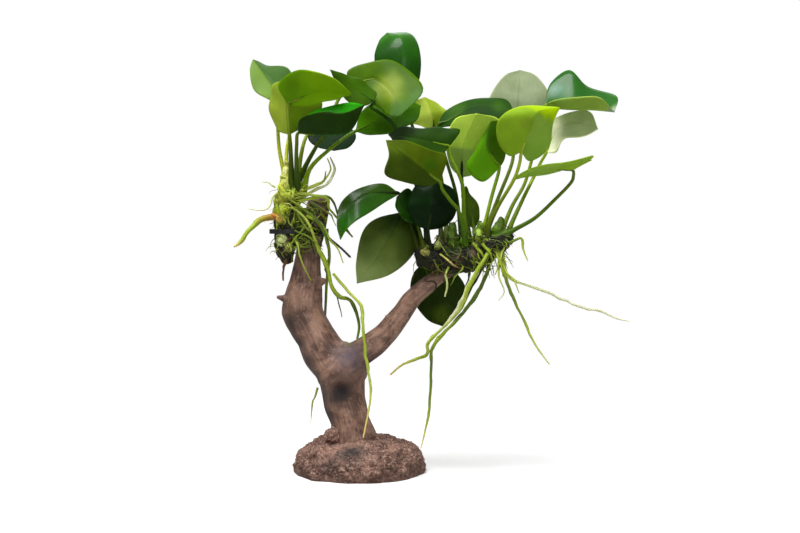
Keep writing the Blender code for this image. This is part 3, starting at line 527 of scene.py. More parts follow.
# Leaves.
# Each leaf is one leathery blade, half a millimetre thick, on a stiff round stalk that springs
# from the creeping stem. The upper side is dark and glossy, the underside pale and duller, with
# a sunken midrib and fine veins that sweep to the margin. Places are in millimetres: the stalk
# from stem to blade, the rib from base to tip, left and right as seen from the upper side.
LEAVES = {
    "left_leaf_1": {
        "stalk": [(-40, -3, 157.5), (-41, -1, 165.5), (-43.5, 2, 177.5),
                  (-44.5, 4, 190), (-44, 6, 198.5)],
        "rib": [(-42, 6, 204.5), (-50.5, 14, 217), (-60, 22, 229)],
        "left": [(-48, 4, 204.5), (-58, 8, 211.5), (-61, 16, 222)],
        "right": [(-35.5, 16, 212.5), (-40, 24, 223.5), (-53, 26, 226.5)],
    },
    "left_leaf_2": {
        "stalk": [(-36, -9.5, 156.5), (-36, -16, 177), (-37, -17, 190.5)],
        "rib": [(-37.5, -15, 201.5), (-21.5, -26, 207.5), (-2.5, -25, 206)],
        "left": [(-31, -12, 201), (-19, -16, 202.5), (-8, -21, 205)],
        "right": [(-42, -20, 212), (-29.5, -32, 218.5), (-12.5, -34, 214)],
    },
    "left_leaf_3": {
        "stalk": [(-38.5, -7, 157), (-39, -7, 174.5)],
        "rib": [(-37.5, -6, 185.5), (-38.5, -7, 200), (-41, -7, 215)],
        "left": [(-28.5, -4, 191), (-20, -1, 201), (-25.5, -1, 211.5)],
        "right": [(-44.5, -4, 189), (-48.5, -1, 201.5), (-46.5, -1, 212.5)],
    },
    "left_leaf_4": {
        "stalk": [(-33, -8.5, 156.5), (-32.5, -22, 171.5), (-32, -26, 179.5)],
        "rib": [(-31, -29, 185.5), (-16.5, -36, 184.5), (-3.5, -38, 186.5), (4, -34, 200)],
        "left": [(-27, -24, 194.5), (-14.5, -24, 200), (-3.5, -27, 201.5)],
        "right": [(-29, -42, 192), (-18.5, -48, 195.5), (-7, -46, 195)],
    },
    "left_leaf_5": {
        "stalk": [(-32.5, -0.5, 156.5), (-32.5, 3, 169.5), (-29.5, 11, 185), (-23, 16, 191)],
        "rib": [(-16.5, 16, 191), (-14, 4, 184.5), (-13, -6, 177)],
        "left": [(-5, 12, 190), (-1.5, 5, 184.5), (-5.5, -2, 179)],
        "right": [(-24, 12, 190), (-28, 5, 184.5), (-22, -2, 179)],
    },
    "left_leaf_6": {
        "stalk": [(-35, -4, 155), (-28.5, -5, 169), (-23, -8, 178.5),
                  (-17, -12, 187.5), (-11, -7, 204), (-7, -3, 208.5)],
        "rib": [(-3.5, -1, 212.5), (8.5, 0, 216.5), (19.5, -8, 207), (22.5, -14, 195)],
        "left": [(-6, 1, 220.5), (5, 3, 225.5), (21, 2, 225.5), (35.5, -6, 210.5)],
        "right": [(-0.5, -4, 206), (11, -8, 200.5), (16.5, -12, 196)],
    },
    "middle_leaf_1": {
        "stalk": [(37.5, -8, 123), (37, -2, 135), (32.5, 2, 155.5), (27, 1, 175),
                  (23, -2, 186), (17.5, -3, 193), (11, -5, 198), (7, -9, 200.5)],
        "rib": [(9, -15, 203), (-2, -16, 210), (-14.5, -22, 219.5)],
        "left": [(3, -17, 200.5), (-6, -18, 203.5), (-12, -20, 214)],
        "right": [(9.5, -9, 208.5), (1.5, -9, 215), (-5.5, -15, 217)],
    },
    "middle_leaf_2": {
        "stalk": [(45, -6, 124), (45, 4, 136.5), (39.5, 16, 158.5),
                  (30.5, 20, 189.5), (26, 17, 200.5)],
        "rib": [(24.5, 14, 208), (23.5, 11, 224.5), (22, 16, 239.5), (15.5, 28, 244.5)],
        "left": [(12.5, 17, 216), (8.5, 17, 229.5), (11, 24, 239)],
        "right": [(32.5, 17, 215), (34.5, 17, 229.5), (29, 24, 243)],
    },
    "left_leaf_7": {
        "stalk": [(-30, -5, 154), (-26, -11, 167), (-15, -15, 177.5), (-6, -12, 184.5)],
        "rib": [(-1.5, -6, 187.5), (14.5, 6, 195.5), (34.5, 12, 202.5)],
        "left": [(1.5, 4, 198.5), (11, 12, 205.5), (24, 9, 207)],
        "right": [(8, -5, 185.5), (20.5, 1, 188), (32, 8, 194.5)],
    },
    "middle_leaf_3": {
        "stalk": [(48, -4, 124), (48.5, 10, 138), (47.5, 18, 153), (44.5, 26, 173)],
        "rib": [(42, 26, 189), (41, 21, 198.5), (36.5, 22, 208)],
        "left": [(34, 22, 192), (26.5, 22, 195), (30, 24, 204.5)],
        "right": [(47.5, 26, 193.5), (50.5, 28, 199.5), (44, 27, 204.5)],
    },
    "right_leaf_1": {
        "stalk": [(67, -6, 128), (70.5, -5, 136), (77, 2, 151.5), (85, 10, 170.5), (86.5, 17, 182)],
        "rib": [(88, 20, 190.5), (89, 22, 207.5), (91, 32, 224)],
        "left": [(102.5, 20, 194), (107, 22, 207.5), (100.5, 28, 220)],
        "right": [(74.5, 20, 194.5), (73, 22, 207), (81.5, 28, 220)],
    },
    "right_leaf_2": {
        "stalk": [(77.5, -7, 130.5), (80, -5, 137), (85, 3, 147.5),
                  (92, 10, 159), (96.5, 12, 173.5), (101, 14, 189)],
        "rib": [(103, 10, 202), (113.5, 0, 200), (127.5, -4, 199.5), (139.5, -6, 198)],
        "left": [(107, 18, 215), (117.5, 20, 223), (126.5, 14, 213.5), (142, 5, 207.5)],
        "right": [(105.5, -6, 204), (116, -10, 205.5), (130, -12, 205.5)],
    },
    "right_leaf_3": {
        "stalk": [(70, -13, 129), (71, -14, 136), (76, -13, 147), (84, -13, 160.5), (87, -15, 169)],
        "rib": [(88, -17, 176), (90.5, -25, 185), (95, -30, 196), (107.5, -27, 199)],
        "left": [(93, -15, 171), (102.5, -20, 178.5), (104, -27, 191.5)],
        "right": [(81.5, -15, 174), (75, -18, 182.5), (75.5, -23, 193), (88.5, -24, 200)],
    },
    "right_leaf_4": {
        "stalk": [(81.5, -10, 131.5), (83.5, -9, 137.5), (90.5, 0, 151),
                  (97.5, 14, 163), (101.5, 16, 171)],
        "rib": [(104.5, 14, 176.5), (110, 17, 188.5), (121, 15, 193), (132.5, 8, 189.5)],
        "left": [(109.5, 10, 177), (114.5, 8, 184.5), (124, 4, 185)],
        "right": [(100, 18, 185.5), (110.5, 20, 196.5), (127.5, 15, 200)],
    },
    "right_leaf_5": {
        "stalk": [(79, -13, 131), (84.5, -12, 134), (96.5, -7, 140.5),
                  (108.5, 0, 151), (117, 4, 159.5), (118.5, 4, 163.5)],
        "rib": [(118, 4, 166.5), (102, 0, 167), (83.5, -6, 161)],
        "left": [(128.5, -4, 174), (109.5, -14, 170), (94, -14, 167.5)],
        "right": [(129, 9, 172.5), (112, 14, 166), (96, 8, 163.5)],
    },
    "right_leaf_6": {
        "stalk": [(56.5, -4, 125), (56, 0, 133.5), (54, 8, 153), (48.5, 12, 172.5)],
        "rib": [(43.5, 12, 190.5), (65, 12, 202), (86, 8, 199)],
        "left": [(48.5, 16, 199.5), (65.5, 19, 207), (81, 16, 206.5)],
        "right": [(51.5, 8, 191), (65, 7, 194.5), (78, 6, 193.5)],
    },
    "right_leaf_7": {
        "stalk": [(61, -5, 126), (58, 4, 150)],
        "rib": [(57, 6, 162.5), (57.5, 2, 180), (64.5, -2, 197.5)],
        "left": [(66, 5, 166), (77.5, 4, 181.5), (77.5, 1, 194)],
        "right": [(50.5, 6, 169), (48.5, 4, 183), (53, 1, 194.5)],
    },
    "right_leaf_8": {
        "stalk": [(63, -11, 126.5), (67.5, -10, 133), (73, -7, 153)],
        "rib": [(77, -5, 167.5), (70, -8, 179.5), (72, -6, 193)],
        "left": [(67.5, -8, 160), (59, -8, 168.5), (66.5, -6, 181.5)],
        "right": [(80, -5, 173), (80, -4, 182.5), (78, -4, 192.5)],
    },
    "right_leaf_9": {
        "stalk": [(58.5, -14, 126), (56.5, -19, 136.5), (54, -21, 144.5),
                  (49.5, -23, 150), (45.5, -25, 155.5)],
        "rib": [(44, -26, 159.5), (30, -34, 170), (15.5, -38, 181.5)],
        "left": [(47.5, -23, 173.5), (39, -27, 176.5), (27, -34, 181)],
        "right": [(36.5, -30, 157.5), (25, -35, 159.5), (15, -38, 163.5), (17, -39, 173.5)],
    },
    "right_leaf_10": {
        "stalk": [(59, -9.5, 126.5), (57.5, -10, 142), (57, -11, 156.5),
                  (54, -11, 165.5), (50.5, -10, 173)],
        "rib": [(49.5, -9, 179), (35.5, -15, 182.5), (16.5, -25, 185)],
        "left": [(45, -15, 175), (33.5, -22, 175.5), (21.5, -27, 180)],
        "right": [(55.5, -3, 188), (47, -3, 189.5), (36.5, -6, 189), (24, -16, 189.5)],
    },
    "right_leaf_11": {
        "stalk": [(36, -13, 123), (34, -10, 131)],
        "rib": [(32, -8, 138), (25.5, -10, 144.5), (21, -8, 152)],
        "left": [(28, -11, 138), (23.5, -12, 141), (20.5, -11, 147)],
        "right": [(33.5, -6, 143.5), (32.5, -4, 151), (27, -6, 156.5)],
    },
    "right_leaf_12": {
        "stalk": [(34, -9, 121), (30, -5.5, 132.5), (27, -4.5, 144.5)],
        "rib": [(22.5, -6, 153.5), (7.5, -11, 154), (-4, -19, 146), (-9, -26, 129)],
        "left": [(15, -12, 149), (5, -20, 142.5), (-4.5, -26, 136)],
        "right": [(13.5, -6, 159), (1, -10, 156.5), (-9, -17, 148.5), (-11, -23, 137.5)],
    },
    "right_leaf_13": {
        "stalk": [(36, -4, 119), (34, 5, 124.5), (30, 8, 134.5), (26.5, 4, 142.5)],
        "rib": [(24, 0, 143.5), (18, -6, 132.5), (11, -11, 120), (-0.5, -15, 105)],
        "left": [(10, -2, 140), (2, -6, 131.5), (-1, -12, 116.5)],
        "right": [(34.5, -2, 133), (30, -2, 120), (17, -11, 109.5)],
    },
    "right_leaf_14": {
        "stalk": [(39.5, -14, 123.5), (38.5, -14, 128.5)],
        "rib": [(38, -14, 134), (40, -20, 147), (42, -15, 160.5)],
        "left": [(30, -16, 138), (27, -17, 148), (31.5, -14, 157.5)],
        "right": [(47, -12, 136), (54, -12, 146), (51, -10, 156.5)],
    },
    "right_leaf_15": {
        "stalk": [(64.5, -6, 128), (63.5, -1, 132)],
        "rib": [(63.5, 2, 134), (62, 8, 146.5), (59.5, 12, 158)],
        "left": [(59.5, 6, 138), (57.5, 11, 147.5), (57.5, 12, 154.5)],
        "right": [(66, 6, 138), (67, 10, 145), (62, 13, 153.5)],
    },
    "right_leaf_16": {
        "stalk": [(41, -3, 120.5), (40, 8, 118.5)],
        "rib": [(40, 14, 115.5), (45, 20, 98), (47, 23, 78.5)],
        "left": [(31, 18, 110), (29, 23, 97), (37.5, 24, 83)],
        "right": [(51.5, 16, 112), (60, 21, 99.5), (53, 24, 86.5)],
    },
}
BLADE_GRID = (24, 34)
BLADE_ROUNDING = 0.6
BLADE_THICKNESS = 0.55 * MM
RIB_GROOVE = 0.35 * MM
STALK_RADII = [2.1, 1.25, 1.0, 0.95, 0.9, 0.85, 0.7, 0.25]
STALK_ENDS = (0.14, 0.34)

# For each leaf: the colours of the two halves of each side, as seen on a screen, how much light
# shines through, how glossy the upper side is, and the stalk from its foot up. Where the halves differ,
# it is mostly painted light and shade, one half lit and the other shaded. Bands come in between two
# fractions of the rib and run on to the tip. Dabs have a place, left to right and up, and a radius, in
# millimetres. Bands and dabs hold the leaf's own patches and also painted light, shade and sheen, marked
# at each leaf.
LEAF_LOOKS = {
    # The bluish right half of the upper side is a painted sheen.
    "left_leaf_1": {"upper": ((112, 144, 60), (70, 104, 50)), "under": ((118, 146, 70), (118, 146, 70)),
        "glow": 0.2, "coat": 0.06, "stalk": ((171, 176, 36), (165, 187, 54))},
    # The dark dab is painted shade inside the cupped blade.
    "left_leaf_2": {"upper": ((60, 100, 8), (60, 100, 8)), "under": ((112, 154, 8), (104, 158, 4)),
        "glow": 0.45, "coat": 0.1, "stalk": ((63, 82, 5), (128, 150, 42)),
        "bands": [(0.35, 0.6, (130, 166, 20)), (0.8, 1, (104, 148, 6))],
        "dabs": [(-34, 210, 5.5, (78, 118, 4))]},
    # The dark dab is a painted shadow cast by left_leaf_2.
    "left_leaf_3": {"upper": ((60, 100, 8), (60, 100, 8)), "under": ((102, 128, 22), (162, 184, 62)),
        "glow": 0.3, "coat": 0.1, "stalk": ((217, 222, 60), (182, 199, 60)),
        "dabs": [(-30, 190, 9.4, (76, 106, 10))]},
    # The dark right half of each side is painted shade.
    "left_leaf_4": {"upper": ((42, 146, 9), (36, 74, 4)), "under": ((36, 134, 7), (34, 60, 2)),
        "glow": 0.05, "coat": 0.1, "stalk": ((52, 77, 3), (97, 123, 18))},
    "left_leaf_5": {"upper": ((12, 42, 2), (14, 46, 2)), "under": ((60, 90, 30), (60, 90, 30)),
        "glow": 0.05, "coat": 0.08, "stalk": ((97, 117, 18), (148, 170, 48))},
    # The pale dab is painted light shining through, and the band at the tip is a painted silvery reflection.
    "left_leaf_6": {"upper": ((74, 108, 8), (74, 108, 8)), "under": ((88, 128, 60), (84, 130, 66)),
        "glow": 0.3, "coat": 0.1, "stalk": ((55, 73, 3), (114, 140, 30)),
        "bands": [(0.72, 0.84, (84, 124, 56))],
        "dabs": [(17, 211, 9.4, (162, 174, 76))]},
    "middle_leaf_1": {"upper": ((66, 103, 3), (62, 100, 3)), "under": ((70, 104, 10), (70, 104, 10)),
        "glow": 0.3, "coat": 0.1, "stalk": ((34, 58, 3), (46, 84, 5))},
    "middle_leaf_2": {"upper": ((30, 78, 4), (34, 86, 5)), "under": ((60, 90, 20), (60, 90, 20)),
        "glow": 0.08, "coat": 0.3, "stalk": ((68, 84, 12), (68, 105, 18)),
        "bands": [(0.55, 0.85, (50, 108, 26))]},
    "left_leaf_7": {"upper": ((85, 147, 2), (58, 108, 2)), "under": ((87, 147, 2), (60, 108, 2)),
        "glow": 0.3, "coat": 0.1, "stalk": ((125, 152, 24), (85, 123, 15)),
        "dabs": [(7, 195, 5.5, (96, 148, 4))]},
    "middle_leaf_3": {"upper": ((236, 249, 109), (184, 205, 65)), "under": ((236, 249, 109), (184, 205, 65)),
        "glow": 0.4, "coat": 0.1, "stalk": ((91, 108, 30), (74, 105, 18))},
    "right_leaf_1": {"upper": ((143, 154, 122), (143, 154, 122)), "under": ((144, 154, 122), (140, 151, 118)),
        "glow": 0.15, "coat": 0.05, "stalk": ((103, 123, 15), (97, 123, 18)),
        "dabs": [(86, 215, 4.4, (128, 140, 108)), (93, 207, 5, (150, 160, 128)),
            (79, 208, 3.9, (132, 144, 112))]},
    # The bluish dab is a painted sheen.
    "right_leaf_2": {"upper": ((37, 92, 24), (132, 161, 60)), "under": ((137, 165, 60), (144, 174, 67)),
        "glow": 0.1, "coat": 0.35, "stalk": ((97, 123, 6), (137, 158, 42)),
        "bands": [(0.82, 1, (150, 166, 140))],
        "dabs": [(111, 211, 6.6, (84, 128, 112))]},
    "right_leaf_3": {"upper": ((150, 196, 30), (130, 170, 40)), "under": ((150, 186, 78), (160, 196, 52)),
        "glow": 0.45, "coat": 0.1, "stalk": ((68, 82, 9), (182, 205, 60)),
        "bands": [(0.66, 0.8, (200, 232, 8))],
        "dabs": [(90, 191, 4.4, (140, 168, 50))]},
    "right_leaf_4": {"upper": ((190, 202, 150), (196, 206, 140)), "under": ((250, 252, 215), (250, 252, 210)),
        "glow": 0.15, "coat": 0.05, "stalk": ((91, 117, 9), (171, 193, 60)),
        "bands": [(0.4, 0.7, (225, 238, 180))]},
    "right_leaf_5": {"upper": ((129, 173, 36), (129, 173, 41)), "under": ((153, 191, 53), (147, 186, 53)),
        "glow": 0.25, "coat": 0.1, "stalk": ((66, 98, 3), (103, 123, 27))},
    "right_leaf_6": {"upper": ((34, 72, 2), (28, 62, 2)), "under": ((44, 84, 4), (48, 88, 4)),
        "glow": 0.2, "coat": 0.02, "stalk": ((41, 63, 2), (68, 94, 12)),
        "dabs": [(53, 202, 6.6, (62, 104, 8)), (78, 202, 4.4, (58, 98, 4))]},
    "right_leaf_7": {"upper": ((190, 218, 84), (190, 218, 84)), "under": ((165, 190, 104), (158, 184, 98)),
        "glow": 0.4, "coat": 0.05, "stalk": ((57, 77, 5), (34, 54, 2)),
        "bands": [(0.42, 0.52, (204, 234, 92))]},
    # The dark right half and the dark dab are painted shade.
    "right_leaf_8": {"upper": ((94, 156, 3), (54, 86, 3)), "under": ((94, 156, 3), (52, 88, 3)),
        "glow": 0.4, "coat": 0.1, "stalk": ((131, 161, 17), (91, 123, 15)),
        "dabs": [(70, 189, 5.5, (56, 96, 3))]},
    # The lighter band toward the tip is painted light.
    "right_leaf_9": {"upper": ((56, 80, 6), (56, 80, 6)), "under": ((74, 92, 5), (56, 74, 5)),
        "glow": 0.08, "coat": 0.1, "stalk": ((68, 101, 3), (103, 129, 27)),
        "bands": [(0.5, 0.95, (90, 112, 28))],
        "dabs": [(40, 169, 5.5, (54, 92, 3))]},
    "right_leaf_10": {"upper": ((40, 70, 3), (34, 62, 2)), "under": ((50, 86, 5), (48, 84, 5)),
        "glow": 0.05, "coat": 0.04, "stalk": ((80, 110, 7), (108, 138, 27)),
        "bands": [(0.62, 0.82, (18, 34, 2))]},
    "right_leaf_11": {"upper": ((32, 70, 4), (28, 60, 4)), "under": ((60, 90, 20), (60, 90, 20)),
        "glow": 0.05, "coat": 0.3, "stalk": ((71, 80, 7), (68, 94, 12))},
    "right_leaf_12": {"upper": ((46, 92, 11), (53, 88, 16)), "under": ((80, 109, 32), (80, 109, 32)),
        "glow": 0.1, "coat": 0.3, "stalk": ((57, 70, 12), (39, 56, 5)),
        "dabs": [(-7, 138, 6.1, (44, 116, 4)), (2, 143, 5, (42, 98, 6))]},
    # The dark base of the underside is painted shade, with bands lightening it toward the tip.
    "right_leaf_13": {"upper": ((52, 84, 10), (52, 84, 10)), "under": ((34, 50, 8), (44, 60, 12)),
        "glow": 0.08, "coat": 0.05, "stalk": ((68, 84, 21), (30, 44, 2)),
        "bands": [(0.05, 0.5, (74, 90, 36)), (0.4, 0.95, (124, 140, 82))]},
    "right_leaf_14": {"upper": ((12, 40, 1), (10, 32, 1)), "under": ((40, 60, 10), (40, 60, 10)),
        "glow": 0.04, "coat": 0.06, "stalk": ((23, 33, 2), (41, 51, 11))},
    "right_leaf_15": {"upper": ((64, 86, 8), (60, 80, 8)), "under": ((60, 80, 20), (60, 80, 20)),
        "glow": 0.08, "coat": 0.1, "stalk": ((103, 129, 18), (68, 94, 12))},
    "right_leaf_16": {"upper": ((34, 52, 4), (34, 54, 4)), "under": ((34, 48, 3), (37, 52, 3)),
        "glow": 0.12, "coat": 0.1, "stalk": ((46, 64, 6), (46, 64, 6)),
        "dabs": [(47, 85, 7.2, (80, 98, 26))]},
}

leaf_material, sheet = new_material("leaf_skin")
tint = sheet.add("Attribute", {"attribute_name": "tint"}, None, 0)
coat = sheet.add("Attribute", {"attribute_name": "tint"}, None, 3)
glow = sheet.add("Attribute", {"attribute_name": "glow"}, None, 2)
across = sheet.add("Attribute", {"attribute_name": "across"}, None, 2)
where = sheet.add("Attribute", {"attribute_name": "where"}, None, 2)
place = sheet.add("TexCoord", None, None, 3)
aside = abs(across)
sweep = where - 0.5 * aside ** 1.3
vein = 1.0 - (sweep * 9.0).maths("PINGPONG", sweep * 9.0, 0.5).step(0.0, 0.14)
veinlet = (sweep * 60.0).maths("PINGPONG", sweep * 60.0, 0.5).step(0.1, 0.5)
rib_line = 1.0 - aside.step(0.0, 0.05)
margin = aside.step(0.93, 1.0)
blotch = place.grain(90.0, 4.0)
fleck = place.grain(650.0, 3.0)
skin = (blotch.step(0.62, 0.38) * 0.35).mix(tint, (0.62, 0.70, 0.50, 1.0), "MULTIPLY")
skin = (blotch.step(0.5, 0.68) * 0.30).mix(skin, (1.35, 1.25, 1.1, 1.0), "MULTIPLY")
skin = (vein * 0.22).mix(skin, (1.35, 1.32, 1.2, 1.0), "MULTIPLY")
skin = (veinlet * 0.15).mix(skin, (0.75, 0.8, 0.7, 1.0), "MULTIPLY")
skin = (fleck.step(0.60, 0.72) * 0.2).mix(skin, (0.6, 0.65, 0.5, 1.0), "MULTIPLY")
skin = (rib_line * 0.5).mix(skin, (0.70, 0.75, 0.55, 1.0), "MULTIPLY")
# The margin is lightened all round: a painted pale rim of light.
skin = (margin * 0.4).mix(skin, (1.9, 1.7, 1.5, 1.0), "MULTIPLY")
finish_material(leaf_material, Base_Color=skin, Roughness=0.55 + 0.15 * blotch,
                Specular_IOR_Level=0.08, Coat_Weight=coat, Coat_Roughness=0.2,
                Normal=bumps(vein * 0.25 + rib_line * 0.7 + fleck * 0.15, 0.35, 0.0005))
shader = leaf_material.node_tree.nodes["Principled BSDF"].outputs[0]
through = sheet.add("BsdfTranslucent", None, {"Color": (0.42, 0.62, 0.05, 1.0)})
both = sheet.add("MixShader", None, {0: glow, 1: Wire(sheet.tree, shader), 2: through})
sheet.tree.links.new(both.socket, sheet.tree.nodes["Material Output"].inputs["Surface"])

stalk_material, sheet = new_material("stalk_skin")
tint = sheet.add("Attribute", {"attribute_name": "tint"}, None, 0)
place = sheet.add("TexCoord", None, None, 3)
ribbing = place.grain(900.0, 3.0, (1.0, 1.0, 0.08))
scar = place.grain(160.0, 3.0)
stalk_tone = (ribbing.step(0.4, 0.6) * 0.4).mix(tint, (0.6, 0.62, 0.5, 1.0), "MULTIPLY")
stalk_tone = (scar.step(0.58, 0.7) * 0.35).mix(stalk_tone, (1.5, 1.35, 1.1, 1.0), "MULTIPLY")
finish_material(stalk_material, Base_Color=stalk_tone, Roughness=0.42, Specular_IOR_Level=0.15,
                Normal=bumps(ribbing, 0.4, 0.0004))


def smooth_step(low, high, value):
    share = min(max((value - low) / (high - low), 0.0), 1.0)
    return share * share * (3 - 2 * share)


def blend(first, second, share):
    return tuple(a + (b - a) * share for a, b in zip(first, second))


def paint(mesh, name, kind, key, values):
    """Write one value a point into an attribute of the mesh."""
    layer = mesh.attributes.new(name, kind, "POINT")
    layer.data.foreach_set(key, values)


def read(mesh, name):
    values = [0.0] * len(mesh.vertices)
    mesh.attributes[name].data.foreach_get("value", values)
    return values


def blade_point(lines, across, where):
    """Place on a blade: rounded across from margin to margin through the rib."""
    middle = along(lines["rib"], where)
    to_left = along(lines["left"], where) - middle
    to_right = along(lines["right"], where) - middle
    side = to_right if across > 0 else to_left
    straight = side * abs(across)
    rounded = (to_right - to_left) / 2 * across + (to_left + to_right) / 2 * across ** 2
    return middle + straight.lerp(rounded, BLADE_ROUNDING)


def make_blade(lines, seed):
    bpy.ops.object.select_all(action="DESELECT")
    bpy.ops.mesh.primitive_grid_add(x_subdivisions=BLADE_GRID[0], y_subdivisions=BLADE_GRID[1],
                                    size=1.0)
    blade = bpy.context.object
    mesh = blade.data
    spots = [(2 * point.co.x, point.co.y + 0.5) for point in mesh.vertices]
    for point, (across, where) in zip(mesh.vertices, spots):
        point.co = blade_point(lines, across, where)
    paint(mesh, "across", "FLOAT", "value", [across for across, where in spots])
    paint(mesh, "where", "FLOAT", "value", [where for across, where in spots])
    mesh.update()
    chance = random.Random(seed)
    ripple = chance.uniform(0.3, 0.7) * MM
    waves = chance.uniform(1.6, 3.2)
    start = chance.uniform(0.0, 6.3)
    moves = []
    for point, (across, where) in zip(mesh.vertices, spots):
        ends = math.sin(math.pi * where)
        wave = math.sin(2 * math.pi * waves * where + start + (1.7 if across > 0 else 0.0))
        rise = ripple * across ** 2 * wave * ends
        rise -= RIB_GROOVE * max(0.0, 1 - abs(across) / 0.1) * ends
        moves.append(point.normal * rise)
    for point, move in zip(mesh.vertices, moves):
        point.co += move
    bpy.ops.object.mode_set(mode="EDIT")
    bpy.ops.mesh.select_all(action="SELECT")
    bpy.ops.mesh.remove_doubles(threshold=0.02 * MM)
    bpy.ops.object.mode_set(mode="OBJECT")
    return blade


def tint_blade(mesh, look, shell):
    """Colour and coat of each point, upper side first, then the underside; the colour carries painted light
    and shade.
    """
    tints, glows = [], []
    for index, (across, where) in enumerate(zip(read(mesh, "across"), read(mesh, "where"))):
        upper = index < shell
        left, right = look["upper"] if upper else look["under"]
        # The halves, bands and dabs lay painted light, shade and sheen over the leaf's own colour.
        shade = blend(left, right, smooth_step(-0.06, 0.06, across))
        spot = mesh.vertices[index].co
        stray = noise.noise(spot * 130.0) + 0.4 * noise.noise(spot * 400.0)
        for start, end, band in look.get("bands", []):
            shade = blend(shade, band, smooth_step(start, end, where + 0.10 * stray))
        for x, z, radius, dab in look.get("dabs", []):
            gap = math.hypot(spot.x / MM - x, spot.z / MM - z) / radius + 0.35 * stray
            shade = blend(shade, dab, 0.8 * (1 - smooth_step(0.1, 1.3, gap)))
        red, green, blue, _ = colour(*shade)
        tints += [red, green, blue, look["coat"] if upper else 0.1 * look["coat"]]
        glows.append(look["glow"])
    paint(mesh, "tint", "FLOAT_COLOR", "color", tints)
    paint(mesh, "glow", "FLOAT", "value", glows)


def make_leaf(name, lines, look, seed):
    rib = metres(lines["rib"])
    rails = {
        "rib": rib,
        "left": [rib[0], *metres(lines["left"]), rib[-1]],
        "right": [rib[0], *metres(lines["right"]), rib[-1]],
    }
    blade = make_blade(rails, seed)
    shell = len(blade.data.vertices)
    apply_modifier(blade, "SOLIDIFY", thickness=BLADE_THICKNESS, offset=0.0)
    tint_blade(blade.data, look, shell)
    blade.data.materials.append(leaf_material)
    path = [*lines["stalk"], lines["rib"][0], *(along(rib, end) / MM for end in STALK_ENDS)]
    stalk = make_tubes("stalk", [(path, STALK_RADII)], 5, 3)
    foot_place, top_place = Vector(path[0]) * MM, Vector(path[-1]) * MM
    low, high = look["stalk"]
    tints = []
    for point in stalk.data.vertices:
        share = (point.co - foot_place).length / (top_place - foot_place).length
        tints += colour(*blend(low, high, smooth_step(0.0, 1.0, share)))
    paint(stalk.data, "tint", "FLOAT_COLOR", "color", tints)
    paint(stalk.data, "glow", "FLOAT", "value", [0.0] * len(stalk.data.vertices))
    stalk.data.materials.append(stalk_material)
    select_only(blade)
    stalk.select_set(True)
    bpy.ops.object.join()
    bpy.ops.object.shade_smooth()
    blade.name = name + "_blade"
    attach(blade, "root")
    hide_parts(name)
    return blade


for seed, (leaf_name, lines) in enumerate(LEAVES.items()):
    make_leaf(leaf_name, lines, LEAF_LOOKS[leaf_name], seed)


# Creeping stems.
# Each plant grows from one creeping stem as thick as a finger, tied or rooted to the wood. Its
# skin is dark with dead roots and algae, and knobs, buds and the feet of old leaves stand out
# pale. Knobs are a place and a radius in millimetres, and a colour as seen on a screen.
LEFT_STEM = [(-38.5, -4, 116), (-40, -4, 124.5), (-39.5, -4.5, 136.5), (-38.5, -5, 146.5),
    (-36.5, -5, 154.5), (-36, -5, 159.5)]
LEFT_STEM_RADII = [2.5, 5.8, 6.5, 6, 6, 3.5]
LEFT_KNOBS = [
    ((-39, -8.5, 166), 2.2, (222, 228, 140)), ((-39.5, -9, 161), 2.4, (204, 208, 100)),
    ((-41, -10, 156), 3.3, (186, 196, 70)), ((-42.5, -9.5, 150), 3.2, (144, 146, 44)),
    ((-37, -11, 153), 3.0, (172, 186, 60)), ((-41, -11.5, 144.5), 3.6, (160, 172, 34)),
    ((-43, -11, 140.5), 2.4, (206, 170, 80)), ((-46, -10.5, 141), 2.1, (186, 120, 50)),
    ((-42, -9.5, 128.5), 3.1, (206, 216, 140)), ((-37, -9.5, 124), 2.9, (186, 200, 90)),
    ((-34, -9, 129), 2.4, (90, 110, 30)), ((-40, -7, 119.5), 2.6, (34, 30, 16)),
]
# Sheaths, the wide feet of the stalks, run up from the stem: a line, its radii and its colour.
LEFT_SHEATHS = [
    ([(-39.5, -7, 146), (-40, -9, 154), (-39.3, -9, 162), (-38.6, -8, 171)], [3.4, 3.4, 2.6, 1.4],
     (188, 194, 90)),
    ([(-37, -8, 148), (-36, -9, 156), (-35.5, -8, 165)], [3.0, 2.4, 1.3], (80, 104, 22)),
    ([(-41, -9, 138), (-42.5, -9.5, 146), (-42, -9, 154)], [3.2, 3.0, 2.0], (138, 148, 44)),
]
RIGHT_STEM = [(31.5, -9, 118.5), (39, -9, 119.5), (50, -9, 118.5), (61, -9, 119.5),
    (70.5, -10, 124), (78.5, -11, 129), (83, -11, 132.5)]
RIGHT_STEM_RADII = [4.5, 7, 8.2, 8.2, 7, 5.5, 3]
RIGHT_KNOBS = [
    ((36, -15.5, 122), 2.5, (156, 152, 80)), ((37.5, -14.5, 124.5), 1.8, (120, 130, 50)),
    ((43, -15.5, 126), 2.3, (150, 164, 84)), ((43, -15, 129.5), 1.6, (176, 186, 110)),
    ((58, -13, 128), 3.6, (84, 126, 16)), ((65, -14, 131), 3.0, (146, 176, 60)),
    ((69, -13.5, 129), 2.4, (150, 180, 60)), ((75, -13, 134), 3.2, (78, 116, 12)),
    ((80, -12, 132.5), 2.8, (72, 106, 14)), ((54, -15.5, 119.5), 3.0, (84, 62, 56)),
    ((63, -15, 121.5), 3.4, (92, 72, 66)),
]
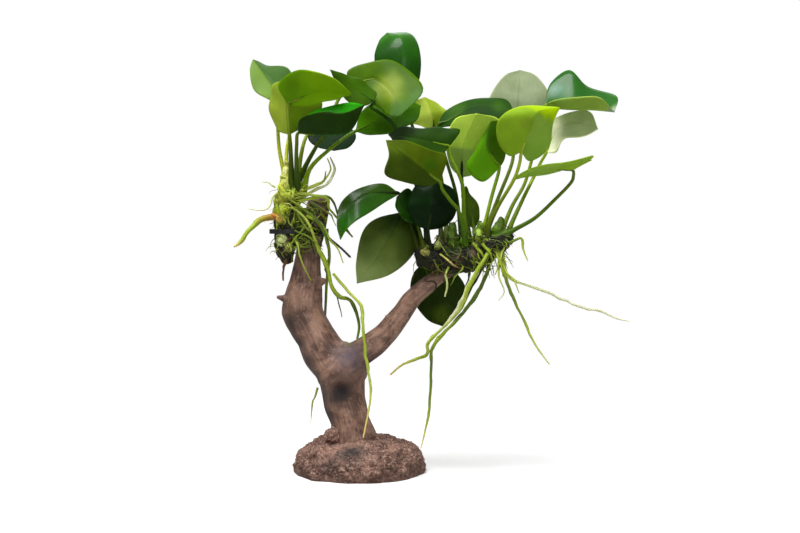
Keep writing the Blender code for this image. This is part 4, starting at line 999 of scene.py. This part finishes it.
RIGHT_SHEATHS = [
    ([(63, -11, 124), (65, -13, 131), (67, -12.5, 138)], [3.2, 3.0, 1.5], (92, 122, 22)),
    ([(74, -11, 128), (76, -12.5, 135), (78, -12, 141)], [3.0, 2.8, 1.4], (72, 98, 14)),
    ([(52, -12, 122), (51, -13.5, 130), (50.5, -13, 138)], [3.4, 2.8, 1.5], (70, 98, 16)),
]
STEM_BARK = (26, 25, 10)
STEM_VOXEL = 0.5 * MM


def stem_skin(place):
    return (noise.noise(place * 330.0) * 0.8 + noise.noise(place * 900.0) * 0.35) * MM


def make_stem(name, points, radii, sheaths, knobs):
    stem = make_tubes(name, [(points, radii), *(sheath[:2] for sheath in sheaths)], 5, 6)
    balls = []
    for place, radius, _ in knobs:
        bpy.ops.mesh.primitive_ico_sphere_add(subdivisions=3, radius=0.85 * radius * MM,
                                              location=Vector(place) * MM)
        balls.append(bpy.context.object)
    select_only(stem)
    for ball in balls:
        ball.select_set(True)
    bpy.ops.object.join()
    fuse(stem, STEM_VOXEL)
    shift(stem.data, stem_skin)
    marks = []
    for points, radii, tone in sheaths:
        for share in (0.2, 0.35, 0.5, 0.65, 0.8, 0.95):
            marks.append((along(metres(points), share), 1.2 * between(radii, share) * MM, tone))
    for place, radius, tone in knobs:
        marks.append((Vector(place) * MM, radius * MM, tone))
    tints = []
    for point in stem.data.vertices:
        tone = STEM_BARK
        for place, radius, mark_tone in marks:
            gap = (point.co - place).length / radius
            if gap < 1.4:
                tone = blend(tone, mark_tone, 1 - smooth_step(0.95, 1.4, gap))
        tints += colour(*tone)
    paint(stem.data, "tint", "FLOAT_COLOR", "color", tints)
    bpy.ops.object.shade_smooth()
    stem.data.materials.clear()
    stem.data.materials.append(stem_material)
    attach(stem, "root")
    return stem


stem_material, sheet = new_material("stem_skin")
tint = sheet.add("Attribute", {"attribute_name": "tint"}, None, 0)
place = sheet.add("TexCoord", None, None, 3)
cloud = place.grain(120.0, 4.0)
flake = place.grain(480.0, 4.0)
stem_tone = (cloud.step(0.50, 0.66) * 0.3).mix(tint, colour(84, 92, 34))
stem_tone = (cloud.step(0.46, 0.34) * 0.5).mix(stem_tone, (0.42, 0.40, 0.42, 1.0), "MULTIPLY")
stem_tone = (flake.step(0.55, 0.7) * 0.5).mix(stem_tone, (1.7, 1.6, 1.3, 1.0), "MULTIPLY")
stem_tone = (flake.step(0.44, 0.32) * 0.7).mix(stem_tone, (0.4, 0.38, 0.36, 1.0), "MULTIPLY")
finish_material(stem_material, Base_Color=stem_tone, Roughness=0.45 + 0.3 * cloud,
                Specular_IOR_Level=0.3,
                Normal=bumps(flake, 0.7, 0.0010))

left_stem = make_stem("left_stem", LEFT_STEM, LEFT_STEM_RADII, LEFT_SHEATHS, LEFT_KNOBS)
right_stem = make_stem("right_stem", RIGHT_STEM, RIGHT_STEM_RADII, RIGHT_SHEATHS,
                       RIGHT_KNOBS)
for piece, node in ((left_stem, "left_rhizome"), (right_stem, "right_rhizome")):
    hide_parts(node)


# Roots.
# Round living roots as thick as string, yellow-green in the light and darker where they are
# old. The long ones hang free or run down the wood. Short ones weave a mat over the stems, and
# hair roots stand out of it. Places and radii are in millimetres, tones as seen on a screen.
ROOTS = {
    "left_root_1": [(-42.5, -9, 142), (-52, -12, 139.5), (-58, -15, 134), (-63, -18, 127.5),
        (-66.5, -19, 125)],
    "left_root_2": [(-42, -6, 155.5), (-46.5, -8, 151), (-48, -9, 147), (-52.5, -9, 144.5),
        (-59.5, -10, 145.5)],
    "left_root_3": [(-36.5, -10, 147), (-28.5, -9, 140), (-24.5, -8, 131.5), (-22, -6, 124.5),
        (-17.5, -7, 115), (-14, -9, 103), (-10, -9, 97.5), (-4.5, -7, 95.5), (-1, -7, 88.5),
        (0.5, -9, 81), (-0.5, -12, 74.5)],
    "left_root_4": [(-13.5, -9, 110), (-7, -12, 102.5), (1.5, -14, 92.5), (2.5, -17, 82.5),
        (3.5, -19, 72), (6, -19, 57.5), (7, -18, 45.5), (5.5, -17, 35), (3, -20, 22)],
    "left_root_5": [(-33.5, -5, 146), (-25.5, -8, 142), (-19.5, -11, 134.5), (-16.5, -9, 127.5),
        (-16.5, 0, 116), (-18, 8, 103), (-19.5, 16, 82)],
    "left_root_6": [(-34, -7, 148.5), (-25.5, -9, 151), (-18, -8, 152), (-13.5, -6, 148.5),
        (-8.5, -6, 136.5), (-3, -8, 130)],
    "left_root_7": [(-33, -2, 150.5), (-23, -4, 155.5), (-16, -3, 160), (-13, -1, 167),
        (-15.5, 1, 173.5)],
    "right_root_1": [(72.5, -15, 125), (67, -21, 116.5), (58.5, -20, 101), (55, -17, 92),
        (46, -13, 81), (38, -10, 72.5), (37.5, -9, 66.5), (33.5, -7, 64), (24.5, -4, 60),
        (17.5, -2, 54)],
    "right_root_2": [(71, -9, 119.5), (70.5, -13, 112.5), (65, -14, 100.5), (57, -14, 89),
        (48, -16, 79.5), (41.5, -14, 72), (39.5, -13, 64.5), (39.5, -12, 48), (38.5, -12, 34.5),
        (36, -13, 22), (34, -14, 15)],
    "right_root_3": [(75, -14, 127), (78, -17, 112.5), (82.5, -18, 100.5), (88.5, -20, 87),
        (95.5, -22, 72.5), (103, -23, 62)],
    "right_root_4": [(78, -8, 128.5), (80, -8, 113), (84, -7, 107), (102.5, -4, 100),
        (121.5, 0, 91.5), (132.5, 2, 89), (143, 4, 84.5), (150, 5, 83)],
    "right_root_5": [(78.5, -14, 130.5), (81.5, -17, 127), (88, -18, 129.5), (89, -18, 123.5),
        (91.5, -19, 117.5)],
}
YOUNG, GREEN, OLD = (198, 212, 92), (150, 172, 44), (86, 108, 28)
DARK, BROWN, STRAW = (34, 40, 12), (104, 74, 44), (222, 204, 120)
BARE, MOSS, PALE_ROOT = (48, 38, 24), (116, 136, 34), (232, 234, 190)
ROOT_LOOKS = {
    "left_root_1": ([1.9, 1.5, 1.4, 1.2, 0.5], [(206, 150, 66), (150, 120, 36), GREEN, GREEN, STRAW]),
    "left_root_2": ([0.8, 0.6, 0.5, 0.3], [GREEN, PALE_ROOT, PALE_ROOT]),
    "left_root_3": ([0.7, 0.9, 1.2, 1.1, 0.9, 0.6], [YOUNG, YOUNG, GREEN, GREEN, OLD, OLD]),
    "left_root_4": ([0.8, 0.9, 0.8, 0.7, 0.4], [GREEN, YOUNG, GREEN, YOUNG, STRAW]),
    "left_root_5": ([1.0, 1.0, 0.9, 0.7], [GREEN, OLD, MOSS, MOSS]),
    "left_root_6": ([0.9, 0.8, 0.7, 0.5], [YOUNG, GREEN, OLD, OLD]),
    "left_root_7": ([1.1, 0.9, 0.8, 0.4], [YOUNG, PALE_ROOT, PALE_ROOT]),
    "right_root_1": ([0.9, 1.0, 1.0, 0.9, 0.8, 0.5], [MOSS, GREEN, YOUNG, YOUNG, GREEN, STRAW]),
    "right_root_2": ([1.1, 1.1, 1.0, 0.9, 0.8, 0.3], [DARK, OLD, OLD, GREEN, OLD, GREEN, STRAW]),
    "right_root_3": ([0.9, 0.8, 0.7, 0.3], [GREEN, GREEN, OLD, GREEN, YOUNG]),
    "right_root_4": ([0.9, 0.8, 0.7, 0.3], [GREEN, YOUNG, PALE_ROOT, PALE_ROOT, PALE_ROOT]),
    "right_root_5": ([0.9, 0.8, 0.7, 0.3], [DARK, OLD, GREEN, YOUNG]),
}
LEFT_FINE_ROOTS = [
    ([(-45, -9, 157), (-49, -10, 159), (-52, -10, 160)], [0.5, 0.3, 0.15], [GREEN, YOUNG]),
    ([(-32, -8, 155), (-22, -5, 159), (-18, -3, 162), (-15, -2, 167), (-17, -1, 173)],
     [0.8, 0.6, 0.3], [YOUNG, YOUNG, GREEN]),
    ([(-33, -7, 155), (-20, -6, 159.5), (-17.5, -5, 166)], [0.9, 0.6, 0.2], [GREEN, YOUNG, OLD]),
    ([(-34, -9, 154), (-26, -10, 153), (-17, -9, 151), (-16, -9, 146), (-12, -9, 141),
      (-8, -9, 137), (-3, -10, 130)], [0.9, 0.7, 0.6, 0.3], [YOUNG, GREEN, OLD]),
    ([(-26, -8, 149), (-19, -7, 145), (-15, -8, 142), (-12, -8, 136)], [0.7, 0.5, 0.2], [OLD, GREEN]),
    ([(-28, -9, 142), (-20, -9, 137), (-15, -11, 129), (-11, -11, 124), (-8, -12, 116)],
     [0.8, 0.6, 0.3], [GREEN, GREEN, YOUNG]),
    ([(-18, -8, 113), (-15, -8, 104), (-12, -8, 99), (-10, -7, 92), (-9, -6, 86)],
     [0.6, 0.5, 0.2], [OLD, DARK, OLD]),
    ([(-39, -7, 118), (-41, -6, 112), (-41, -6, 106)], [0.9, 0.7, 0.4], [BROWN, (120, 66, 40), BROWN]),
    ([(-23, 4, 46), (-26, 6, 36), (-27, 7, 26)], [0.6, 0.5, 0.2], [GREEN, YOUNG]),
    ([(-34, -10, 128), (-32, -11.5, 123), (-30, -9, 115), (-26, -4, 106)], [0.7, 0.5, 0.3],
     [GREEN, YOUNG, GREEN]),
    ([(-41, -11, 156), (-36, -11.5, 150), (-30, -11, 146)], [0.9, 0.7, 0.3], [YOUNG, GREEN]),
    ([(-44, -9, 149), (-46, -9, 144), (-45, -9, 139)], [0.5, 0.5, 0.2], [BROWN, GREEN]),
]
RIGHT_FINE_ROOTS = [
    ([(68, -12, 121), (67, -13, 115), (61, -10, 106)], [0.8, 0.6, 0.3], [DARK, OLD]),
    ([(71, -17, 124), (65.5, -20, 114.5), (57.3, -19.5, 100), (53.8, -17, 91.5), (45, -13.5, 80),
      (37.5, -11, 71.5)], [0.7, 0.8, 0.7, 0.5], [OLD, GREEN, PALE_ROOT, PALE_ROOT, GREEN]),
    ([(72, -13, 124), (68.6, -19, 116), (60, -18.5, 101), (56.4, -16, 92), (47.4, -13, 81.5)],
     [0.6, 0.6, 0.5], [OLD, MOSS, DARK, GREEN, MOSS]),
    ([(60, -12, 119), (60.5, -10, 113), (60, -8, 107), (58, -7, 102)], [0.7, 0.6, 0.2], [DARK, OLD]),
    ([(76, -13, 124), (78, -15, 115), (84, -17, 107), (87, -18, 100)], [0.8, 0.6, 0.2],
     [GREEN, YOUNG, GREEN]),
    ([(75, -14, 123), (76, -16, 117), (76, -17, 109), (79, -17, 101), (76, -17, 96)],
     [0.7, 0.5, 0.2], [GREEN, YOUNG, (206, 214, 150)]),
    ([(49, -16, 114), (48, -17, 110), (48.5, -17, 104), (47, -17, 98)], [0.6, 0.7, 0.4],
     [GREEN, (190, 202, 120), (206, 214, 140)]),
    ([(57, -15, 116), (56, -17, 113), (53, -17, 109), (50, -17, 104)], [0.6, 0.4, 0.2],
     [OLD, GREEN, OLD]),
    ([(73, -14, 126), (75, -16, 121), (77, -18, 115), (78, -19, 109)], [0.7, 0.5, 0.2],
     [YOUNG, GREEN]),
    ([(62, -17, 127), (66, -19, 122), (68, -19, 119)], [0.9, 0.8, 0.4], [MOSS, GREEN, MOSS]),
    ([(67, -17.5, 127), (71, -19, 122), (73, -18, 117)], [0.9, 0.8, 0.4], [MOSS, GREEN, MOSS]),
    ([(44, -17.5, 121), (50, -18.5, 116.5), (56, -17, 113)], [0.6, 0.6, 0.3], [GREEN, STRAW, BROWN]),
    ([(80, -13, 131), (79, -15, 124), (77, -17, 118), (74, -18, 110)], [0.8, 0.6, 0.3],
     [GREEN, YOUNG, GREEN]),
    ([(41, -16, 118), (44, -17.5, 113), (49, -17, 109.5)], [0.5, 0.4, 0.2], [OLD, BROWN]),
]
# Each patch of mat: how many roots, the box they start in, the way they run, their lengths and
# radii, and their tones.
LEFT_MAT = [
    (44, (-38, -16, 148), (-24, 2, 160), (1.0, -0.1, -0.2), (9, 20), (0.3, 0.6), (YOUNG, GREEN, OLD)),
    (90, (-35, -16, 133), (-15, 8, 153), (0.6, 0.0, -0.9), (7, 20), (0.25, 0.5),
     (GREEN, OLD, BROWN, DARK, OLD)),
    (36, (-48, -16, 136), (-34, 0, 160), (0.2, 0.0, -1.0), (6, 15), (0.3, 0.6), (GREEN, OLD, YOUNG)),
    (40, (-48, -16, 113), (-31, 3, 132), (0.4, 0.0, -0.8), (5, 12), (0.25, 0.5), (OLD, DARK, BROWN)),
]
RIGHT_MAT = [
    (150, (26, -20, 104), (72, 6, 132), (0.9, 0.0, -0.4), (7, 24), (0.25, 0.5), (DARK, BARE, OLD, DARK)),
    (50, (60, -20, 112), (86, 2, 137), (0.4, 0.0, -0.9), (7, 18), (0.3, 0.6), (OLD, MOSS, DARK, MOSS)),
]
# Strands that bridge from the left stem to the arm: how many, the two boxes they join, their radii
# and their tones.
LEFT_BRIDGES = (46, ((-38, -11, 124), (-33, -5, 151)), ((-27, -7, 120), (-18, -2, 148)), (0.25, 0.5),
                (GREEN, OLD, YOUNG, OLD, DARK))
LEFT_HAIRS = (60, (3, 8), (0.12, 0.25), (OLD, BROWN, GREEN, STRAW))
RIGHT_BRIDGES = (16, ((56, -16, 116), (82, -11, 130)), ((62, -19, 106), (84, -14, 120)), (0.25, 0.45),
                 (GREEN, MOSS, OLD, YOUNG))
RIGHT_HAIRS = (110, (3, 11), (0.12, 0.25), (OLD, BROWN, DARK, GREEN))
CREEP_STRIDE = 1.4 * MM
ROOT_KINK = 0.9 * MM

root_material, sheet = new_material("root_skin")
tint = sheet.add("Attribute", {"attribute_name": "tint"}, None, 0)
place = sheet.add("TexCoord", None, None, 3)
fuzz = place.grain(1500.0, 3.0)
stain = place.grain(170.0, 4.0)
root_tone = (stain.step(0.52, 0.68) * 0.45).mix(tint, (0.62, 0.60, 0.40, 1.0), "MULTIPLY")
root_tone = (stain.step(0.46, 0.34) * 0.35).mix(root_tone, (1.25, 1.2, 1.15, 1.0), "MULTIPLY")
root_tone = (fuzz.step(0.5, 0.7) * 0.3).mix(root_tone, (0.6, 0.62, 0.5, 1.0), "MULTIPLY")
finish_material(root_material, Base_Color=root_tone, Roughness=0.5, Specular_IOR_Level=0.3,
                Normal=bumps(fuzz, 0.5, 0.0003))


def make_root(points, radii, tones, kink=0.0, steps=5, ring=2):
    """One root, with its colour along it; kink is how far it strays between its ends."""
    root = make_tubes("root", [(points, radii)], steps, ring)
    mesh = root.data
    rings = steps * (len(points) - 1) + 1
    size = len(mesh.vertices) // rings
    tints = []
    for index, point in enumerate(mesh.vertices):
        share = min(index // size / (rings - 1), 1.0)
        stray = noise.noise_vector(point.co * 150.0) + 0.4 * noise.noise_vector(point.co * 420.0)
        point.co += stray * kink * math.sin(math.pi * share)
        scaled = share * (len(tones) - 1)
        low = min(int(scaled), len(tones) - 2)
        tints += colour(*blend(tones[low], tones[low + 1], scaled - low))
    paint(mesh, "tint", "FLOAT_COLOR", "color", tints)
    mesh.materials.append(root_material)
    return root


def join(name, pieces):
    select_only(pieces[0])
    for piece in pieces:
        piece.select_set(True)
    bpy.ops.object.join()
    bpy.ops.object.shade_smooth()
    bpy.context.object.name = name
    return bpy.context.object


def faces_of(pieces):
    """Centre and normal of each face of some pieces, and a tree to find the nearest one."""
    corners, rings, marks = [], [], []
    for piece in pieces:
        first = len(corners)
        corners += [point.co.copy() for point in piece.data.vertices]
        rings += [[first + corner for corner in face.vertices] for face in piece.data.polygons]
        marks += [(face.center.copy(), face.normal.copy()) for face in piece.data.polygons]
    return marks, BVHTree.FromPolygons(corners, rings)


def creep(tree, place, way, length, lift, chance):
    """Path over a surface, held lift above it, that wanders one way."""
    path = []
    for _ in range(max(int(length * MM / CREEP_STRIDE), 3)):
        spot, normal, _, _ = tree.find_nearest(place)
        path.append((spot + normal * lift * MM) / MM)
        stray = Vector([chance.uniform(-1, 1) for _ in range(3)])
        way = (way + stray * 0.45).normalized()
        way = (way - normal * way.dot(normal)).normalized()
        place = spot + way * CREEP_STRIDE
    return path


def dangle(place, way, length, chance):
    """Path of a hair root that springs out one way and then hangs."""
    path = [place / MM]
    for _ in range(4):
        stray = Vector([chance.uniform(-1, 1) for _ in range(3)])
        way = (way + stray * 0.4 + Vector((0, 0, -0.25))).normalized()
        path.append(path[-1] + way * length / 4)
    return path


def within(box, chance):
    return Vector([chance.uniform(low, high) for low, high in zip(*box)])


def make_mat(name, pieces, patches, hairs, fine, bridges, seed):
    chance = random.Random(seed)
    marks, tree = faces_of(pieces)
    roots = [make_root(points, radii, tones, ROOT_KINK) for points, radii, tones in fine]
    for count, low, high, way, lengths, radii, tones in patches:
        inside = [mark for mark in marks
                  if all(a * MM <= b <= c * MM for a, b, c in zip(low, mark[0], high))]
        for place, _ in chance.choices(inside, k=count):
            radius = chance.uniform(*radii)
            path = creep(tree, place, Vector(way), chance.uniform(*lengths), radius * 0.5, chance)
            first, last = chance.choice(tones), chance.choice(tones)
            roots.append(make_root(path, [radius * 0.4, radius, radius, radius * 0.4],
                                   [first, first, last], 0.0, 2, 1))
    count, start_box, end_box, sizes, tones = bridges
    for _ in range(count):
        start, end = within(start_box, chance), within(end_box, chance)
        middle = (start + end) / 2 + within(((-2, -3, -4), (2, 1, 3)), chance)
        radius = chance.uniform(*sizes)
        roots.append(make_root([start, middle, end], [radius, radius, 0.5 * radius],
                               chance.sample(tones, 2), ROOT_KINK, 4, 1))
    count, lengths, radii, tones = hairs
    bottoms = [mark for mark in faces_of(pieces[:1])[0] if mark[1].z < 0.5]
    for place, normal in chance.choices(bottoms, k=count):
        path = dangle(place, normal, chance.uniform(*lengths), chance)
        radius = chance.uniform(*radii)
        tone = chance.choice(tones)
        roots.append(make_root(path, [radius, radius, radius * 0.4], [tone, tone], 0.0, 2, 0))
    mat = join(name, roots)
    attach(mat, "root")
    return mat


for root_name, points in ROOTS.items():
    radii, tones = ROOT_LOOKS[root_name]
    root = join(root_name + "_strand", [make_root(points, radii, tones, ROOT_KINK)])
    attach(root, "root")
    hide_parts(root_name)

left_mat = make_mat("left_root_mat", [left_stem, wood], LEFT_MAT, LEFT_HAIRS, LEFT_FINE_ROOTS,
                    LEFT_BRIDGES, 21)
right_mat = make_mat("right_root_mat", [right_stem, wood], RIGHT_MAT, RIGHT_HAIRS,
                     RIGHT_FINE_ROOTS, RIGHT_BRIDGES, 22)
for piece, node in ((left_mat, "left_rhizome"), (right_mat, "right_rhizome")):
    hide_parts(node)


# Cable tie.
# A thin black nylon strap drawn tight round the arm and the left stem. The band is smooth, its
# head is a small block, and the cut tail that stands out of it is toothed.
TIE_LINE = (Vector((-39.8, -4.4)), Vector((-25.6, 6.0)))
TIE_RADIUS = 8.45
TIE_HEIGHT = 2.5 * MM
TIE_THICKNESS = 0.8 * MM
TIE_Z = 133.0 * MM
TIE_TURNS = 24
TIE_HEAD = (4.4, 3.0, 3.6)
TIE_HEAD_PLACE = (-20.2, -2.0, 133.0)
TIE_HEAD_TURN = 0.63
TIE_TAIL = [(-19.5, -2.5, 132.5), (-15.0, -4.0, 128.5), (-9.5, -6.0, 124.0), (-4.0, -8.0, 118.8)]
TIE_TAIL_RADII = [0.75, 0.55]
TIE_TEETH = 18

curve = bpy.data.curves.new("cable_tie_band", "CURVE")
curve.dimensions = "2D"
curve.fill_mode = "NONE"
curve.extrude = TIE_HEIGHT / 2
start, end = TIE_LINE
facing = math.atan2(end.y - start.y, end.x - start.x)
spline = curve.splines.new("POLY")
spline.points.add(2 * TIE_TURNS - 1)
for index, point in enumerate(spline.points):
    first_half = index < TIE_TURNS
    centre = end if first_half else start
    turn = facing - math.pi / 2 + math.pi * (index % TIE_TURNS) / (TIE_TURNS - 1)
    turn += 0.0 if first_half else math.pi
    point.co = ((centre.x + TIE_RADIUS * math.cos(turn)) * MM,
                (centre.y + TIE_RADIUS * math.sin(turn)) * MM, 0.0, 1.0)
spline.use_cyclic_u = True
band = bpy.data.objects.new("cable_tie_band", curve)
bpy.context.scene.collection.objects.link(band)
select_only(band)
bpy.ops.object.convert(target="MESH")
band = bpy.context.object
for point in band.data.vertices:
    point.co.z += TIE_Z
apply_modifier(band, "SOLIDIFY", thickness=TIE_THICKNESS, offset=0.0)
apply_modifier(band, "BEVEL", width=0.2 * MM, segments=2)

bpy.ops.object.select_all(action="DESELECT")
bpy.ops.mesh.primitive_cube_add(size=1.0, location=Vector(TIE_HEAD_PLACE) * MM,
                                rotation=(0.0, 0.0, TIE_HEAD_TURN))
head = bpy.context.object
head.scale = Vector(TIE_HEAD) * MM
bpy.ops.object.transform_apply(location=True, rotation=True, scale=True)
apply_modifier(head, "BEVEL", width=0.45 * MM, segments=3)
steps = TIE_TEETH * 2
tail = make_tubes("tail", [(TIE_TAIL, TIE_TAIL_RADII * TIE_TEETH + [0.3])], steps // 3, 1)
select_only(band)
head.select_set(True)
tail.select_set(True)
bpy.ops.object.join()
tie = bpy.context.object
bpy.ops.object.shade_smooth_by_angle(angle=math.radians(40))

tie_material, sheet = new_material("black_nylon")
place = sheet.add("TexCoord", None, None, 3)
scuff = place.grain(700.0, 4.0)
dirt = place.grain(180.0, 3.0)
tie_tone = dirt.step(0.45, 0.65).mix(colour(18, 18, 20), colour(40, 40, 38))
finish_material(tie_material, Base_Color=tie_tone, Roughness=0.34 + 0.3 * scuff,
                Normal=bumps(scuff, 0.25, 0.0003))
tie.data.materials.clear()
tie.data.materials.append(tie_material)
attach(tie, "root")
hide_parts("cable_tie")
